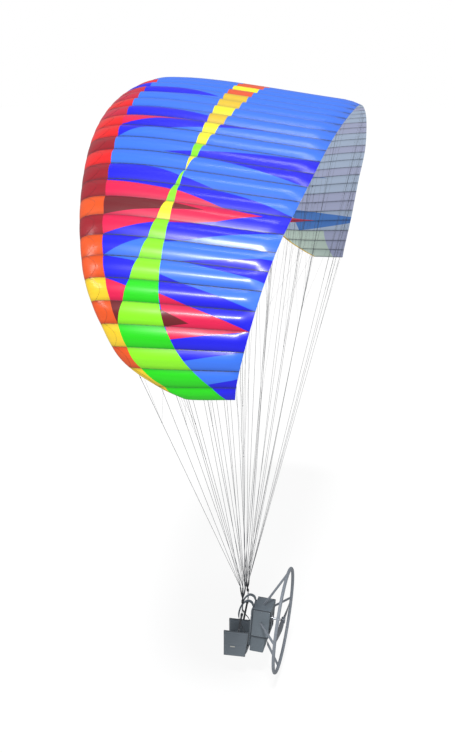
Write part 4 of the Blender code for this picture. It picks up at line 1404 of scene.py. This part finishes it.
def make_edge_guard():
    bm = bmesh.new()
    for side in (1, -1):
        y = side * (BLOCK_HALF - 0.001)
        ring = [Vector((x, y, z)) for x, z in (
            (BLOCK_REAR + 0.002, BLOCK_BOTTOM + 0.002), (BLOCK_FRONT - 0.002, BLOCK_BOTTOM + 0.002),
            (BLOCK_FRONT - 0.002, BLOCK_TOP - 0.002), (BLOCK_REAR + 0.002, BLOCK_TOP - 0.002))]
        course = []
        for i, corner in enumerate(ring):
            course += [corner.lerp(ring[i - 1], 0.05), corner, corner.lerp(ring[(i + 1) % 4], 0.05)]
        lay_strap(bm, course, Y, GUARD, GUARD, sides=8, power=0.8, closed=True)
    bmesh.ops.transform(bm, matrix=MOTOR_PLACE, verts=bm.verts)
    finish_piece("edge_guard", bm, "motor_unit", rubber)


SLOT_ROWS = 7
SLOT_PITCH = 0.026
LOWEST_SLOT = -0.150
SLOT_OFFSET = 0.115
SLOT_SIZE = (0.005, 0.090, 0.011)
SLOT_EDGE = 0.0018


def make_slots():
    """Cooling slots in the rear wall, as dark bars that stand a little proud. Their dark is painted
    shade, standing in for the shadow inside each slot.
    """
    bm = bmesh.new()
    for row in range(SLOT_ROWS):
        z = LOWEST_SLOT + row * SLOT_PITCH
        for y in (-SLOT_OFFSET, SLOT_OFFSET):
            boxed(bm, (BLOCK_REAR - 0.0015, y, z), SLOT_SIZE, SLOT_EDGE)
    bmesh.ops.transform(bm, matrix=MOTOR_PLACE, verts=bm.verts)
    finish_piece("cooling_slots", bm, "motor_unit", rubber)


PLATE_BOLTS = 6


def make_fastenings():
    bm = bmesh.new()
    for side in (1, -1):
        for x in (BLOCK_REAR + 0.022, (BLOCK_REAR + BLOCK_FRONT) / 2, BLOCK_FRONT - 0.022):
            for z in (BLOCK_TOP - 0.022, BLOCK_BOTTOM + 0.022):
                barrel(bm, Vector((x, side * (BLOCK_HALF + 0.001), z)), Y, 0.0055, 0.005, 0.001)
    plate = Vector((BLOCK_REAR - 0.004, 0.0, 0.0))
    barrel(bm, plate, X, 0.060, 0.010, 0.002)
    barrel(bm, plate - X * 0.009, X, 0.030, 0.014, 0.002)
    for i in range(PLATE_BOLTS):
        turn = math.tau * i / PLATE_BOLTS
        barrel(bm, plate + Vector((-0.006, 0.046 * math.cos(turn), 0.046 * math.sin(turn))), X,
               0.0055, 0.008, 0.001)
    for i in range(PLATE_BOLTS):
        turn = math.tau * (i + 0.5) / PLATE_BOLTS
        barrel(bm, Vector((0.022, 0.030 * math.cos(turn), 0.030 * math.sin(turn))), X, 0.0045,
               0.012, 0.001)
    bmesh.ops.transform(bm, matrix=MOTOR_PLACE, verts=bm.verts)
    finish_piece("fastenings", bm, "motor_unit", finishes["steel"], 50.0)


CAP_GRIPS = 16


def make_tank_cap():
    bm = bmesh.new()
    place = Vector((TANK_REAR + 0.006, -0.105, -0.285))
    barrel(bm, place, X, 0.027, 0.030, 0.003)
    for i in range(CAP_GRIPS):
        turn = math.tau * i / CAP_GRIPS
        boxed(bm, place + Vector((0.0, 0.027 * math.cos(turn), 0.027 * math.sin(turn))),
              (0.022, 0.0035, 0.0035), 0.0008)
    bmesh.ops.transform(bm, matrix=MOTOR_PLACE, verts=bm.verts)
    finish_piece("tank_cap", bm, "motor_unit", rubber)


make_edge_guard()
make_slots()
make_fastenings()
make_tank_cap()

# %% [markdown]
# ## Stage and light
# The machine flies, so the floor is only a wide pale ground well below it. Its paint and a
# little glow of its own add up to white under these lamps, so a thin line still shows against
# it. The lamps are suns with a wide disc: they light the whole wing evenly, which no lamp a few
# metres away would do, and they leave a narrow soft shine along the crest of each cell.

# %% Stage
FLOOR_HEIGHT = -8.05
FLOOR_HALF_WIDTH = 400.0
FLOOR_GREY = (0.10, 0.10, 0.10)
FLOOR_GLOW = 0.89


def make_stage():
    bm = bmesh.new()
    bmesh.ops.create_grid(bm, x_segments=8, y_segments=8, size=FLOOR_HALF_WIDTH,
                          matrix=Matrix.Translation((0.0, 0.0, FLOOR_HEIGHT)))
    mesh = bpy.data.meshes.new("floor")
    bm.to_mesh(mesh)
    bm.free()
    floor = bpy.data.objects.new("floor", mesh)
    bpy.context.scene.collection.objects.link(floor)
    material, _, shader = new_material("floor_pale", 0.95)
    shader.inputs["Base Color"].default_value = (*FLOOR_GREY, 1.0)
    shader.inputs["Specular IOR Level"].default_value = 0.1
    shader.inputs["Emission Color"].default_value = (1.0, 1.0, 1.0, 1.0)
    shader.inputs["Emission Strength"].default_value = FLOOR_GLOW
    mesh.materials.append(material)
    floor.visible_glossy = False


make_stage()


def add_sun(name, toward, power, disc):
    """A sun that shines from the direction toward; disc is its width in degrees."""
    data = bpy.data.lights.new(name, "SUN")
    data.energy = power
    data.angle = math.radians(disc)
    lamp = bpy.data.objects.new(name, data)
    bpy.context.scene.collection.objects.link(lamp)
    lamp.rotation_euler = Vector(toward).to_track_quat("Z", "Y").to_euler()


add_sun("key", (-0.10, 0.62, 0.78), 2.8, 7.0)
add_sun("front", (0.75, 0.35, 0.55), 0.8, 20.0)
add_sun("overhead", (-0.10, -0.20, 0.97), 0.55, 16.0)
SKY_LIGHT = 0.32            # what the sky gives as light
SKY_SEEN = 1.0              # how bright it looks behind the wing
world = bpy.data.worlds.new("World")
bpy.context.scene.world = world
world.use_nodes = True
sky = world.node_tree
path = add_node(sky, "ShaderNodeLightPath", (-600, 0))
strength = add_node(sky, "ShaderNodeMapRange", (-300, 0), in_3=SKY_LIGHT, in_4=SKY_SEEN)
sky.links.new(path.outputs["Is Camera Ray"], strength.inputs[0])
sky.links.new(strength.outputs[0], sky.nodes["Background"].inputs["Strength"])
sky.nodes["Background"].inputs["Color"].default_value = (1.0, 1.0, 1.0, 1.0)
bpy.context.scene.view_settings.view_transform = "Standard"
print("lamps placed")
